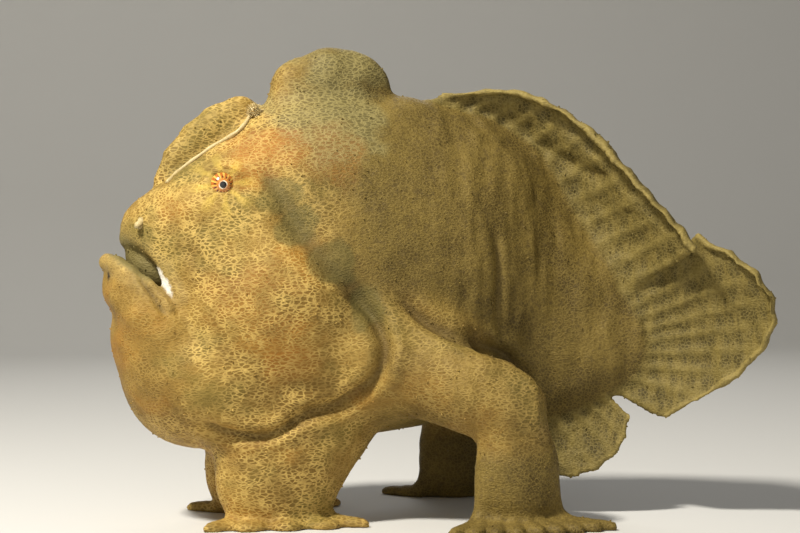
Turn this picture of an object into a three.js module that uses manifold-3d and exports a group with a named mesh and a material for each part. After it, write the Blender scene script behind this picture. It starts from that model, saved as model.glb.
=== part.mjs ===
// A giant frogfish standing on its fins, as a still, life-size model.
// Millimetres, +Z up, head towards -X, left flank towards -Y. The origin is on the floor under the middle of the
// model. The flesh is one field of eggs and limbs that melt into each other, skinned and then parted by thin
// cuts. The fins are thin rayed sheets rooted in it.
import * as THREE from "three";
import { mergeVertices } from "three/addons/utils/BufferGeometryUtils.js";
import Module from "manifold-3d";

const wasm = await Module();
wasm.setup();

// Driving dimensions.
const seam = 0.32; // gap between pieces that touch
const bend = { from: 34, to: 112, angle: THREE.MathUtils.degToRad(30) }; // the tail swings to the fish's left
const skinStep = { mouth: 4, head: 6.3, rear: 9.6 }; // spacing of the skin's grid, finer towards the mouth

// The flesh. Places are the canonical, unbent fish's, and paired parts name their +Y copy.
const trunk = { at: [-6, 0, 106], radii: [70, 37, 66] };
const skull = { at: [-52, 0, 107], radii: [48, 35, 46] };
const crown = { at: [-22, 0, 143], radii: [44, 23, 32] };
const cheek = { at: [-38, 13, 88], radii: [45, 31, 42] };
const brow = { at: [-68, 14, 130], radii: [19, 15, 13] };
const snout = { at: [-84, 0, 119.5], radii: [19, 20, 15.5] };
const chin = { at: [-88, 0, 77], radii: [20.5, 24, 18] };
const throat = { at: [-70, 0, 64], radii: [34.5, 33, 34] };
const jowl = { at: [-60, 14, 60], radii: [35, 24, 27] };
const belly = { at: [-8, 0, 70], radii: [46, 32, 34] };
const loin = { at: [36, 0, 104], radii: [42, 29, 60], turn: -0.3 };
const hindpart = { at: [66, 0, 82], radii: [36, 16, 38], turn: -0.35 };
const peduncle = { at: [92, 0, 70], radii: [22, 7.5, 18] };
const dorsalBase = [
  [14, 0, 161.5, 12],
  [38, 0, 154, 10],
  [64, 0, 122, 8],
  [88, 0, 92, 5],
];
const analBase = [
  [34, 0, 58, 11],
  [60, 0, 50, 7],
  [86, 0, 56, 5],
];

// Mouth: lips and mandible run from the symphysis round to the corner.
const upperLip = [
  [-99.9, 0, 115.6, 4.2],
  [-97.2, 8, 116, 4],
  [-92, 14, 113, 3.7],
  [-84.5, 20.5, 103.5, 3.4],
  [-81, 24.5, 93, 2.8],
];
const lowerLip = [
  [-109, 0, 106.5, 3.6],
  [-106, 9, 105.5, 3.8],
  [-101, 15, 102, 3.9],
  [-95, 21, 96, 3.8],
  [-87.5, 25, 89, 2.8],
];
const mandible = [
  [-103, 0, 95, 8.4],
  [-100, 11, 92, 8.5],
  [-95, 18, 86, 8.5],
  [-87, 23, 79, 7],
];
const lipBed = [
  [-105.2, 0, 101.5, 5.3],
  [-102, 10.5, 99.5, 5.5],
  [-97, 18, 94.5, 5.5],
  [-90, 23, 86, 4.6],
];
const gape = { at: [-98, 0, 106], radii: [19.5, 26, 7], turn: -0.77 };
const mouthRoom = { at: [-87, 0, 100], radii: [15, 17, 9], turn: -0.77 };

// Eyes, each in a socket with a raised rim.
const eye = { at: [-65.5, 137.6], radius: 5.4, sunk: 2.8, lid: 1.9 };
const nostril = { at: [-97, 123.5], way: [-0.62, -0.76, 0.2], radius: 2.1, height: 3.4, bore: 1.2 };

// The first three dorsal spines: the fishing rod with its lure, the curved second spine and the third.
const secondSpine = [
  [-86.5, 0, 139.5, 3.8],
  [-80, 0, 148.5, 6.2],
  [-72, 0, 156.5, 7.6],
  [-63, 0, 163, 8.6],
  [-54.5, 0, 167, 8.2],
];
const thirdSpine = [
  [-30, 0, 178, 12.5],
  [-18, 0, 182, 13.5],
  [-7, 0, 181.5, 12.5],
  [-1, 0, 181, 8.8],
];
const spineFlatness = 0.72; // how much narrower than high the fleshy spines are
const rod = { radius: 1.15, lure: [3.1, 2.3, 2.7] };
const rodLine = [
  [-86, 138.8],
  [-80, 144.2],
  [-68, 153],
  [-57, 160],
  [-51, 167],
];

// Limbs: the jointed pectoral arm, and the pelvic leg under the throat. Each ends in a palm.
const arm = [
  [2, 22, 70, 25],
  [20, 34, 62, 19.5],
  [34, 43, 55, 17.5],
  [47, 48, 49, 15.5],
];
const armPalm = { at: [50, 50, 22], radii: [17.5, 9.5, 25] };
const leg = { at: [-36, 14, 44], radii: [35, 20, 32] };
const legPalm = { at: [-42, 20, 18], radii: [25, 12.5, 24] };

// Each palm spreads into fleshy rays that turn over a knee on to the floor and point outwards.
const pelvicHand = { rays: 5, root: [-55, -28], floor: [-61, -19], side: 20, top: 18, foot: 9, knee: 7 };
pelvicHand.spread = [-0.75, 0.7];
const pectoralHand = { rays: 9, root: [38, 62], floor: [30, 72], side: 50, top: 18, foot: 11, knee: 7 };
pectoralHand.spread = [-0.6, 0.95];

// Median fins: where the rays root, where they end, and how the sheet leans, dishes and rolls over to the left.
const dorsalFin = {
  rays: 13,
  base: [
    [16, 164],
    [38, 154],
    [58, 138],
    [76, 117],
    [94, 88.5],
  ],
  tips: [
    [30, 176],
    [59.4, 173.6],
    [88.2, 157.6],
    [115.3, 131.6],
    [138, 110],
  ],
  lean: [2, 8, 12, 15, 19],
  roll: [1, 9, 15, 17, 9],
  rollTurn: 2.0,
  dish: 3,
  scallop: 0.012,
};
const caudalFin = {
  rays: 9,
  base: [
    [93, 80],
    [97, 76],
    [98, 70],
    [97, 63],
    [92, 58],
  ],
  tips: [
    [140, 116.5],
    [162, 101],
    [169.5, 82],
    [156, 61],
    [126, 42],
  ],
  lean: [10, 14, 11, 5, 3],
  roll: [3, 9, 8, 3, 1],
  rollTurn: 2.1,
  dish: 2,
  scallop: 0.02,
};
const analFin = {
  rays: 8,
  base: [
    [38, 54],
    [52, 49],
    [66, 49],
    [80, 53],
    [88, 58],
  ],
  tips: [
    [52, 27],
    [72, 17],
    [92, 18],
    [106, 28],
    [111, 42],
  ],
  lean: [3, 4, 5, 4, 3],
  roll: [0.5, 0.5, 0.5, 0.5, 0.5],
  rollTurn: 0.8,
  dish: 0,
  scallop: 0.03,
};
const sheet = { root: 3.6, membrane: 0.85, margin: 0.45, ridge: 0.75 };

// Where the flesh is parted: planes given by a point and a unit normal, in the bent model.
const spineCuts = {
  third: [[-18, 0, 190], [62, 80, 34], 0],
  second: [[-80, 0, 168], [70, 80, 30], 0.72],
};
const neckAt = 2;
const tailAt = 74;
const limbCutHeight = 30;
const jawHinge = [-77, 0, 87.5];
const jawLow = [-118, 0, 68];

const colours = {
  skin: 0xab8a43,
  jaw: 0xa98d48,
  flank: 0x97803f,
  tail: 0x857338,
  limb: 0x9a8547,
  spine: 0x99884a,
  fin: 0x81713a,
  lure: 0xd6cba0,
  eye: 0x2a1c10,
};

// Distance-like fields. Each is negative inside its shape.
function egg(x, y, z, { at, radii, turn = 0 }) {
  const c = Math.cos(turn);
  const s = Math.sin(turn);
  const dx = x - at[0];
  const dz = z - at[2];
  const u = (dx * c + dz * s) / radii[0];
  const v = (y - at[1]) / radii[1];
  const w = (dz * c - dx * s) / radii[2];
  const reach = Math.hypot(u, v, w);
  const slope = Math.hypot(u / radii[0], v / radii[1], w / radii[2]);
  return slope < 1e-9 ? -Math.min(...radii) : (reach * (reach - 1)) / slope;
}

function limb(x, y, z, joints, flatness = 1) {
  let nearest = Infinity;
  for (let i = 0; i + 1 < joints.length; i++) {
    const [ax, ay, az, ar] = joints[i];
    const [bx, by, bz, br] = joints[i + 1];
    const along = [bx - ax, (by - ay) / flatness, bz - az];
    const from = [x - ax, (y - ay) / flatness, z - az];
    const length2 = along[0] ** 2 + along[1] ** 2 + along[2] ** 2;
    const dot = from[0] * along[0] + from[1] * along[1] + from[2] * along[2];
    const t = Math.min(1, Math.max(0, dot / length2));
    const gap = Math.hypot(from[0] - t * along[0], from[1] - t * along[1], from[2] - t * along[2]);
    nearest = melt(nearest, gap - (ar + t * (br - ar)), 1.2);
  }
  return nearest;
}

function melt(a, b, soft) {
  if (!Number.isFinite(a)) return b;
  const h = Math.max(soft - Math.abs(a - b), 0) / soft;
  return Math.min(a, b) - (h * h * soft) / 4;
}

const carve = (a, b, soft) => -melt(-a, b, soft);

// The trunk with its head, spines and mouth, without the limbs.
function bodyField(x, y, z) {
  const side = Math.abs(y);
  let d = egg(x, y, z, trunk);
  d = melt(d, egg(x, y, z, skull), 14);
  d = melt(d, egg(x, y, z, crown), 14);
  d = melt(d, egg(x, y, z, throat), 12);
  d = melt(d, egg(x, y, z, belly), 14);
  d = melt(d, egg(x, y, z, loin), 18);
  d = melt(d, egg(x, y, z, hindpart), 16);
  d = melt(d, egg(x, y, z, peduncle), 14);
  d = melt(d, limb(x, y, z, dorsalBase), 12);
  d = melt(d, limb(x, y, z, analBase), 10);
  d = melt(d, egg(x, side, z, jowl), 5);
  d = melt(d, egg(x, side, z, cheek), 4);
  d = melt(d, egg(x, side, z, brow), 9);
  d = melt(d, egg(x, y, z, snout), 8);
  d = melt(d, egg(x, y, z, chin), 8);
  d = melt(d, limb(x, side, z, mandible), 6);
  d = melt(d, limb(x, side, z, lipBed), 4);
  d = carve(d, egg(x, y, z, gape), 1.5);
  d = carve(d, egg(x, y, z, mouthRoom), 2);
  d = melt(d, limb(x, side, z, upperLip), 2);
  d = melt(d, limb(x, side, z, lowerLip), 1.5);
  d = melt(d, limb(x, y, z, thirdSpine, spineFlatness), 8);
  d = melt(d, limb(x, y, z, secondSpine, spineFlatness), 2.5);
  return d;
}

function armField(x, y, z) {
  const side = Math.abs(y);
  return melt(limb(x, side, z, arm, 0.86), egg(x, side, z, armPalm), 8);
}

function legField(x, y, z) {
  const side = Math.abs(y);
  return melt(egg(x, side, z, leg), egg(x, side, z, legPalm), 10);
}

const eyeSide = surfaceHalfWidth(eye.at[0], eye.at[1]) - eye.sunk;

// The whole flesh as posed: the limbs hold their places and the body behind bend.from turns.
function fleshField(x, y, z) {
  const [u, v] = unbent(x, y);
  const body = melt(bodyField(u, v, z), legField(x, y, z), 9);
  return melt(body, armField(x, y, z), 17);
}

// Half the width of the body at a place of its side view.
function surfaceHalfWidth(x, z) {
  let inside = 0;
  let outside = 90;
  for (let i = 0; i < 40; i++) {
    const middle = (inside + outside) / 2;
    if (bodyField(x, middle, z) < 0) inside = middle;
    else outside = middle;
  }
  return outside;
}

// Positions along an axis whose spacing changes from one place to the next.
function ticks(from, to, spacingAt) {
  const places = [from];
  while (places.at(-1) < to) places.push(places.at(-1) + spacingAt(places.at(-1)));
  return places;
}

const cellEdges = [];
for (let a = 0; a < 8; a++) {
  for (const bit of [1, 2, 4]) if (!(a & bit)) cellEdges.push([a, a | bit]);
}

// Closed mesh of the place where field equals level: one vertex in each grid cell that the surface crosses, drawn
// on to the surface, and one quad across each crossed grid edge.
function skinOf(field, [xs, ys, zs], level = 0) {
  const [nx, ny, nz] = [xs.length, ys.length, zs.length];
  const at = (i, j, k) => (i * ny + j) * nz + k;
  const values = new Float64Array(nx * ny * nz);
  xs.forEach((x, i) =>
    ys.forEach((y, j) =>
      zs.forEach((z, k) => {
        values[at(i, j, k)] = field(x, y, z) - level;
      }),
    ),
  );
  const vertexOf = new Map();
  const places = [];
  for (let i = 0; i + 1 < nx; i++) {
    for (let j = 0; j + 1 < ny; j++) {
      for (let k = 0; k + 1 < nz; k++) {
        const corner = (c) => [i + (c & 1), j + ((c >> 1) & 1), k + ((c >> 2) & 1)];
        const sum = new THREE.Vector3();
        let crossings = 0;
        for (const [a, b] of cellEdges) {
          const [ca, cb] = [corner(a), corner(b)];
          const [va, vb] = [values[at(...ca)], values[at(...cb)]];
          if (va < 0 === vb < 0) continue;
          const t = va / (va - vb);
          const start = new THREE.Vector3(xs[ca[0]], ys[ca[1]], zs[ca[2]]);
          const end = new THREE.Vector3(xs[cb[0]], ys[cb[1]], zs[cb[2]]);
          sum.add(start.lerp(end, t));
          crossings++;
        }
        if (!crossings) continue;
        vertexOf.set(at(i, j, k), places.length);
        places.push(sum.divideScalar(crossings));
      }
    }
  }
  for (const p of places) drawOn(p, field, level);
  const triangles = [];
  const addQuad = (a, b, c, d, flip) => {
    const [p, q, r, s] = [a, b, c, d].map((n) => places[n]);
    const quad = flip ? [a, d, c, b] : [a, b, c, d];
    const first = p.distanceTo(r) < q.distanceTo(s);
    const [m, n, o, w] = quad;
    if (first) triangles.push(m, n, o, m, o, w);
    else triangles.push(m, n, w, n, o, w);
  };
  const cell = (node) => vertexOf.get(at(...node));
  const stepped = (node, axis, by) => node.map((n, a) => (a === axis ? n + by : n));
  for (let i = 0; i < nx; i++) {
    for (let j = 0; j < ny; j++) {
      for (let k = 0; k < nz; k++) {
        const node = [i, j, k];
        const inside = values[at(i, j, k)] < 0;
        for (const axis of [0, 1, 2]) {
          const next = stepped(node, axis, 1);
          const [u, v] = [(axis + 1) % 3, (axis + 2) % 3];
          if (next[axis] === [nx, ny, nz][axis] || inside === values[at(...next)] < 0) continue;
          const beside = stepped(node, u, -1);
          addQuad(cell(node), cell(beside), cell(stepped(beside, v, -1)), cell(stepped(node, v, -1)), !inside);
        }
      }
    }
  }
  return meshOf(places, triangles);
}

// Moves a point towards the place where field equals level, by no more than a short step.
function drawOn(p, field, level) {
  const h = 0.2;
  const most = 0.7;
  for (let round = 0; round < 2; round++) {
    const d = field(p.x, p.y, p.z) - level;
    const slope = new THREE.Vector3(
      field(p.x + h, p.y, p.z) - field(p.x - h, p.y, p.z),
      field(p.x, p.y + h, p.z) - field(p.x, p.y - h, p.z),
      field(p.x, p.y, p.z + h) - field(p.x, p.y, p.z - h),
    ).divideScalar(2 * h);
    const step = slope.multiplyScalar(-d / Math.max(slope.lengthSq(), 0.6));
    p.add(step.clampLength(0, most));
  }
}

// The same mesh with every vertex moved outwards.
function grown(geometry, by) {
  const larger = geometry.clone();
  larger.computeVertexNormals();
  const position = larger.getAttribute("position");
  const normal = larger.getAttribute("normal");
  const p = new THREE.Vector3();
  const n = new THREE.Vector3();
  for (let i = 0; i < position.count; i++) {
    p.fromBufferAttribute(position, i).addScaledVector(n.fromBufferAttribute(normal, i), by);
    position.setXYZ(i, p.x, p.y, p.z);
  }
  return larger;
}

function meshOf(places, triangles) {
  const geometry = new THREE.BufferGeometry();
  geometry.setAttribute("position", new THREE.Float32BufferAttribute(places.flatMap((p) => p.toArray()), 3));
  geometry.setIndex(triangles);
  return geometry;
}

// The pose: past bend.from the fish turns about an upright axis, towards its left.
function pose(p) {
  const span = bend.to - bend.from;
  const into = THREE.MathUtils.clamp(p.x - bend.from, 0, span);
  const past = Math.max(0, p.x - bend.to);
  const turn = (into / span) * bend.angle;
  const radius = span / bend.angle;
  const x = Math.min(p.x, bend.from) + radius * Math.sin(turn) + past * Math.cos(turn) + p.y * Math.sin(turn);
  const y = -radius * (1 - Math.cos(turn)) - past * Math.sin(turn) + p.y * Math.cos(turn);
  return p.set(x, y, p.z);
}

// Where a posed place was before the bend.
function unbent(x, y) {
  const radius = (bend.to - bend.from) / bend.angle;
  const turn = Math.atan2(x - bend.from, y + radius);
  if (turn <= 0) return [x, y];
  if (turn <= bend.angle) return [bend.from + radius * turn, Math.hypot(x - bend.from, y + radius) - radius];
  const c = Math.cos(bend.angle);
  const s = Math.sin(bend.angle);
  return [
    bend.to + (x - bend.from) * c - (y + radius) * s,
    (x - bend.from) * s + (y + radius) * c - radius,
  ];
}

// A smooth line through named points, at t from 0 to 1.
function through(points, t) {
  const curve = new THREE.CatmullRomCurve3(
    points.map((p) => new THREE.Vector3(...[].concat(p, [0, 0, 0]).slice(0, 3))),
    false,
    "catmullrom",
    0.5,
  );
  return curve.getPoint(t).toArray();
}

// Thin closed sheet round a middle surface, with the rays as ridges on both faces, triangulated alike on both.
function rayedSheet({ rays, middle, halfThickness, rows, perRay = 2 }) {
  const columns = (rays - 1) * perRay + 3;
  const edge = 0.35 / (rays - 1);
  const sAt = (i) => THREE.MathUtils.clamp((i - 1) / (columns - 3), -edge, 1 + edge);
  const places = [];
  const h = 1e-3;
  for (let i = 0; i < columns; i++) {
    const s = i === 0 ? -edge : i === columns - 1 ? 1 + edge : sAt(i);
    for (const t of rows) {
      const p = middle(s, t);
      const across = middle(s + h, t).sub(middle(s - h, t));
      const along = middle(s, t + h).sub(middle(s, t - h));
      const out = across.cross(along).normalize();
      const thin = i === 0 || i === columns - 1 ? Math.min(sheet.margin, halfThickness(s, t)) : halfThickness(s, t);
      places.push(p.clone().addScaledVector(out, thin), p.clone().addScaledVector(out, -thin));
    }
  }
  const n = rows.length;
  const face = (i, j, side) => 2 * (i * n + j) + side;
  const triangles = [];
  const quad = (a, b, c, d) => triangles.push(a, b, c, a, c, d);
  for (let i = 0; i + 1 < columns; i++) {
    for (let j = 0; j + 1 < n; j++) {
      quad(face(i, j, 0), face(i + 1, j, 0), face(i + 1, j + 1, 0), face(i, j + 1, 0));
      triangles.push(face(i, j, 1), face(i + 1, j + 1, 1), face(i + 1, j, 1));
      triangles.push(face(i, j, 1), face(i, j + 1, 1), face(i + 1, j + 1, 1));
    }
    quad(face(i, 0, 0), face(i, 0, 1), face(i + 1, 0, 1), face(i + 1, 0, 0));
    quad(face(i + 1, n - 1, 0), face(i + 1, n - 1, 1), face(i, n - 1, 1), face(i, n - 1, 0));
  }
  for (let j = 0; j + 1 < n; j++) {
    quad(face(0, j + 1, 0), face(0, j + 1, 1), face(0, j, 1), face(0, j, 0));
    const last = columns - 1;
    quad(face(last, j, 0), face(last, j, 1), face(last, j + 1, 1), face(last, j + 1, 0));
  }
  return meshOf(places, triangles);
}

// 1 on a ray and 0 halfway between two.
const rayShare = (s, rays) => 0.5 + 0.5 * Math.cos(2 * Math.PI * s * (rays - 1));

function finThickness(fin) {
  return (s, t) => {
    const web = THREE.MathUtils.lerp(sheet.root, sheet.membrane, Math.min(1, t * 2.2) ** 0.6);
    const ray = sheet.ridge * rayShare(s, fin.rays) * Math.min(1, t * 3) * (1 - 0.5 * t);
    return t > 0.985 ? sheet.margin : web + ray;
  };
}

// A median fin stands in the middle plane, leans to the left, and its margin rolls over to that side.
function medianFin(fin) {
  const middle = (s, t) => {
    const share = THREE.MathUtils.clamp(s, 0, 1);
    const [bx, bz] = through(fin.base, share);
    const [tx, tz] = through(fin.tips, share);
    const overrun = (s - share) * 60;
    const base = new THREE.Vector3(bx, 0, bz);
    const ray = new THREE.Vector3(tx - bx, 0, tz - bz);
    const notch = 1 - fin.scallop * (1 - rayShare(share, fin.rays)) * t;
    const length = ray.length() * notch;
    ray.normalize();
    const lean = through(fin.lean.map((v) => [v]), share)[0];
    const roll = Math.max(0.3, through(fin.roll.map((v) => [v]), share)[0]);
    const path = t * (length + roll);
    const straight = Math.min(path, length);
    const turned = (Math.max(0, path - length) / roll) * fin.rollTurn;
    const radius = roll / fin.rollTurn;
    const p = base.addScaledVector(ray, straight + radius * Math.sin(turned));
    p.y -= lean * (straight / length) ** 2 + radius * (1 - Math.cos(turned));
    p.y += fin.dish * Math.sin((Math.PI * straight) / length) * Math.sin(Math.PI * share);
    const beside = new THREE.Vector3(-ray.z, 0, ray.x);
    const order = Math.sign((through(fin.base, 1)[0] - bx) * beside.x + 1e-9) || 1;
    p.addScaledVector(beside, overrun * order * 0.2);
    return pose(p);
  };
  const rows = [0, 0.22, 0.45, 0.66, 0.76, 0.85, 0.93, 1];
  return rayedSheet({ rays: fin.rays, middle, halfThickness: finThickness(fin), rows });
}

// A hand of rays comes down inside the palm, turns over a knee on to the floor and spreads outwards.
function handSheet(hand, way) {
  const drop = hand.top - hand.knee;
  const arc = (hand.knee * Math.PI) / 2;
  const middle = (s, t) => {
    const foot = hand.foot * (0.7 + 0.3 * rayShare(s, hand.rays));
    const path = t * (drop + arc + foot);
    const turn = THREE.MathUtils.clamp((path - drop) / hand.knee, 0, Math.PI / 2);
    const out = hand.knee * (1 - Math.cos(turn)) + Math.max(0, path - drop - arc);
    const height = hand.top - Math.min(path, drop) - hand.knee * Math.sin(turn) + 1.2;
    const heading = THREE.MathUtils.lerp(hand.spread[0], hand.spread[1], s);
    const across = [0, 1].map((end) => THREE.MathUtils.lerp(hand.root[end], hand.floor[end], t));
    const x = THREE.MathUtils.lerp(across[0], across[1], s) + out * Math.sin(heading);
    return new THREE.Vector3(x, way * (hand.side + out * Math.cos(heading)), height);
  };
  const halfThickness = (s, t) => {
    const web = THREE.MathUtils.lerp(4, 1.3, t);
    const ray = 1.3 * rayShare(s, hand.rays) * Math.min(1, t * 1.6);
    return t > 0.985 ? 0.8 : web + ray;
  };
  return rayedSheet({ rays: hand.rays, middle, halfThickness, rows: [0, 0.3, 0.5, 0.68, 0.85, 1], perRay: 2 });
}

// A tube along a curve, closed by a point at each end.
function closedTube(curve, segments, radius, sides) {
  const tube = new THREE.TubeGeometry(curve, segments, radius, sides, false);
  const merged = mergeVertices(new THREE.BufferGeometry().copy(tube).deleteAttribute("normal").deleteAttribute("uv"));
  const places = [];
  const p = new THREE.Vector3();
  const position = merged.getAttribute("position");
  for (let i = 0; i < position.count; i++) places.push(p.fromBufferAttribute(position, i).clone());
  const triangles = [...merged.index.array];
  const ends = [curve.getPoint(0), curve.getPoint(1)];
  places.push(...ends);
  const used = new Set();
  for (let i = 0; i < triangles.length; i += 3) {
    for (const [a, b] of [
      [0, 1],
      [1, 2],
      [2, 0],
    ])
      used.add(`${triangles[i + a]}_${triangles[i + b]}`);
  }
  const first = places.length - 2;
  for (const key of used) {
    const [a, b] = key.split("_").map(Number);
    if (used.has(`${b}_${a}`)) continue;
    const end = places[a].distanceTo(ends[0]) < places[a].distanceTo(ends[1]) ? first : first + 1;
    triangles.push(b, a, end);
  }
  return meshOf(places, triangles);
}

// Solids for cutting and joining, from closed geometry whose shared vertices are merged.
function solidOf(geometry) {
  const bare = new THREE.BufferGeometry().setAttribute("position", geometry.getAttribute("position"));
  if (geometry.index) bare.setIndex(geometry.index);
  const merged = mergeVertices(bare, 1e-4);
  const triVerts = new Uint32Array(merged.index.array);
  const vertProperties = merged.getAttribute("position").array;
  const made = new wasm.Manifold(new wasm.Mesh({ numProp: 3, vertProperties, triVerts }));
  if (made.volume() >= 0) return made;
  for (let i = 0; i < triVerts.length; i += 3) [triVerts[i], triVerts[i + 1]] = [triVerts[i + 1], triVerts[i]];
  return new wasm.Manifold(new wasm.Mesh({ numProp: 3, vertProperties, triVerts }));
}

const boxSolid = (size, place) => solidOf(new THREE.BoxGeometry(...size).applyMatrix4(place));
const moved = (x, y, z) => new THREE.Matrix4().makeTranslation(x, y, z);

// The largest closed body of a solid, without loose scraps.
function largest(solid) {
  return solid.decompose().reduce((a, b) => (a.volume() > b.volume() ? a : b));
}

function pieceNear(pieces, [x, y, z]) {
  const spot = new THREE.Vector3(x, y, z);
  const gap = (piece) => {
    const { min, max } = piece.boundingBox();
    return new THREE.Box3(new THREE.Vector3(...min), new THREE.Vector3(...max))
      .getCenter(new THREE.Vector3())
      .distanceTo(spot);
  };
  return pieces.reduce((a, b) => (gap(a) < gap(b) ? a : b));
}

// Skin of the flesh, and the same skin a seam further out, which cuts what grows from it.
const spacing = { x: [-78, -56], z: [92, 119, 148], y: 32 };
function spacingX(x) {
  if (x < spacing.x[0]) return skinStep.mouth;
  return x < spacing.x[1] ? skinStep.head : skinStep.rear;
}
function spacingZ(z) {
  if (z < spacing.z[0] || z > spacing.z[2]) return skinStep.rear;
  return z < spacing.z[1] ? skinStep.mouth + 0.4 : skinStep.head;
}
const fleshGrid = [
  ticks(-121, 124, spacingX),
  ticks(-81, 82, (y) => (Math.abs(y) < spacing.y ? skinStep.head : skinStep.rear)),
  ticks(-14, 208, spacingZ),
];
const skin = skinOf(fleshField, fleshGrid);
const flesh = solidOf(skin);
const fleshWithSeam = solidOf(grown(skin, seam * 1.3)).add(flesh);
const floor = boxSolid([600, 400, 40], moved(0, 0, -20));

// Each shoulder is parted along the crease where arm and trunk are equally near.
const shoulderGrid = [ticks(-33.2, 104, () => 6.1), ticks(-92.9, 93, () => 6.1), ticks(22.2, 113, () => 6.1)];
const aroundArm = (x, y, z) => Math.max(-29 - x, x - 98, Math.abs(y) - 84, limbCutHeight - z, z - 106);
const nearArm = (x, y, z) => {
  const [u, v] = unbent(x, y);
  return Math.max(armField(x, y, z) - bodyField(u, v, z), aroundArm(x, y, z));
};
const armSide = solidOf(skinOf(nearArm, shoulderGrid));
const armSideWithSeam = solidOf(skinOf(nearArm, shoulderGrid, 2 * seam));

// A box of space given by its middle, its size and its slope in the side view; and the same box a seam larger.
function regionOf(middle, size, slope = 0) {
  const place = moved(...middle).multiply(new THREE.Matrix4().makeRotationY(-slope));
  return [0, 2 * seam].map((more) => boxSolid(size.map((side) => side + more), place));
}

function planeKnife(point, normal, size) {
  const turned = new THREE.Quaternion().setFromUnitVectors(new THREE.Vector3(0, 0, 1), normal.clone().normalize());
  return boxSolid([...size, seam], new THREE.Matrix4().compose(point, turned, new THREE.Vector3(1, 1, 1)));
}

// A thin slab across the fish from a hinge line to the given point.
function jawKnife(hinge, reach) {
  const from = new THREE.Vector3(...hinge);
  const along = new THREE.Vector3(...reach).sub(from);
  const middle = from.clone().addScaledVector(along, 0.5);
  const turn = new THREE.Matrix4().makeRotationY(-Math.atan2(along.z, along.x));
  return boxSolid([along.length(), 90, seam], moved(...middle.toArray()).multiply(turn));
}

const sockets = [-1, 1].map((way) => {
  const ball = new THREE.SphereGeometry(eye.radius + seam, 20, 14);
  return solidOf(ball.translate(eye.at[0], way * eyeSide, eye.at[1]));
});

// A short tube with a shallow bore, lying on the snout and pointing out of it.
function nostrilTube(side) {
  const { radius, height, bore } = nostril;
  const profile = [
    [0, -height],
    [radius, -height],
    [radius * 0.9, height * 0.4],
    [(radius + bore) / 2, height * 0.55],
    [bore, height * 0.4],
    [bore * 0.8, 0],
    [0, -height * 0.1],
  ].map(([r, h]) => new THREE.Vector2(r, h));
  const out = new THREE.Vector3(nostril.way[0], -side * nostril.way[1], nostril.way[2]).normalize();
  const turned = new THREE.Quaternion().setFromUnitVectors(new THREE.Vector3(0, 1, 0), out);
  const [x, z] = nostril.at;
  const place = new THREE.Vector3(x, side * (surfaceHalfWidth(x, z) + 0.6), z);
  const matrix = new THREE.Matrix4().compose(place, turned, new THREE.Vector3(1, 1, 1));
  return solidOf(new THREE.LatheGeometry(profile, 12).applyMatrix4(matrix));
}

let rest = flesh.subtract(floor);
for (const side of [-1, 1]) {
  const lid = new THREE.TorusGeometry(eye.radius + 0.5, eye.lid, 8, 18).rotateX(Math.PI / 2);
  rest = rest.add(solidOf(lid.translate(eye.at[0], side * (eyeSide + 0.9), eye.at[1])));
  rest = rest.add(nostrilTube(side));
}
for (const socket of sockets) rest = rest.subtract(socket);

// Takes a region out of the flesh, and leaves a seam round it.
function takeOut([region, regionWithSeam]) {
  const taken = rest.intersect(region);
  rest = rest.subtract(regionWithSeam);
  return taken;
}

const solids = {};
const arms = takeOut([armSide, armSideWithSeam]).decompose();
solids.third_dorsal_spine = largest(takeOut(regionOf(...spineCuts.third)));
solids.second_dorsal_spine = largest(takeOut(regionOf(...spineCuts.second)));
const below = takeOut(regionOf([0, 0, limbCutHeight / 2 - 20], [300, 200, limbCutHeight + 40]));
const feet = below.subtract(boxSolid([300, seam, 200], moved(0, 0, 0))).decompose();

const gapeReach = [jawHinge[0] - 50 * Math.cos(gape.turn), 0, jawHinge[2] - 50 * Math.sin(gape.turn)];
const tailPoint = pose(new THREE.Vector3(tailAt, 0, 80));
const tailWay = pose(new THREE.Vector3(tailAt + 1, 0, 80)).sub(tailPoint);
const knives = [
  planeKnife(new THREE.Vector3(neckAt, 0, 100), new THREE.Vector3(1, 0, 0), [260, 200]),
  planeKnife(tailPoint, tailWay, [260, 76]),
  jawKnife(jawHinge, jawLow),
  jawKnife(jawHinge, gapeReach),
];
for (const knife of knives) rest = rest.subtract(knife);
const trunkPieces = rest.decompose();
solids.head = pieceNear(trunkPieces, [-50, 0, 112]);
solids.lower_jaw = pieceNear(trunkPieces, [-96, 0, 92]);
solids.torso = pieceNear(trunkPieces, [38, 0, 105]);
solids.tail_stem = pieceNear(trunkPieces, [92, -14, 74]);

for (const [name, way] of [
  ["left", -1],
  ["right", 1],
]) {
  solids[`arm_${name}`] = pieceNear(arms, [30, way * 42, 60]);
  const foot = pieceNear(feet, [-42, way * 20, 15]);
  const palm = pieceNear(feet, [50, way * 50, 15]);
  solids[`pelvic_fin_${name}`] = largest(foot.add(solidOf(handSheet(pelvicHand, way)).subtract(floor)));
  solids[`pectoral_fin_${name}`] = largest(palm.add(solidOf(handSheet(pectoralHand, way)).subtract(floor)));
}

solids.dorsal_fin = largest(solidOf(medianFin(dorsalFin)).subtract(fleshWithSeam));
solids.caudal_fin = largest(solidOf(medianFin(caudalFin)).subtract(fleshWithSeam));
solids.anal_fin = largest(solidOf(medianFin(analFin)).subtract(fleshWithSeam));

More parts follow.
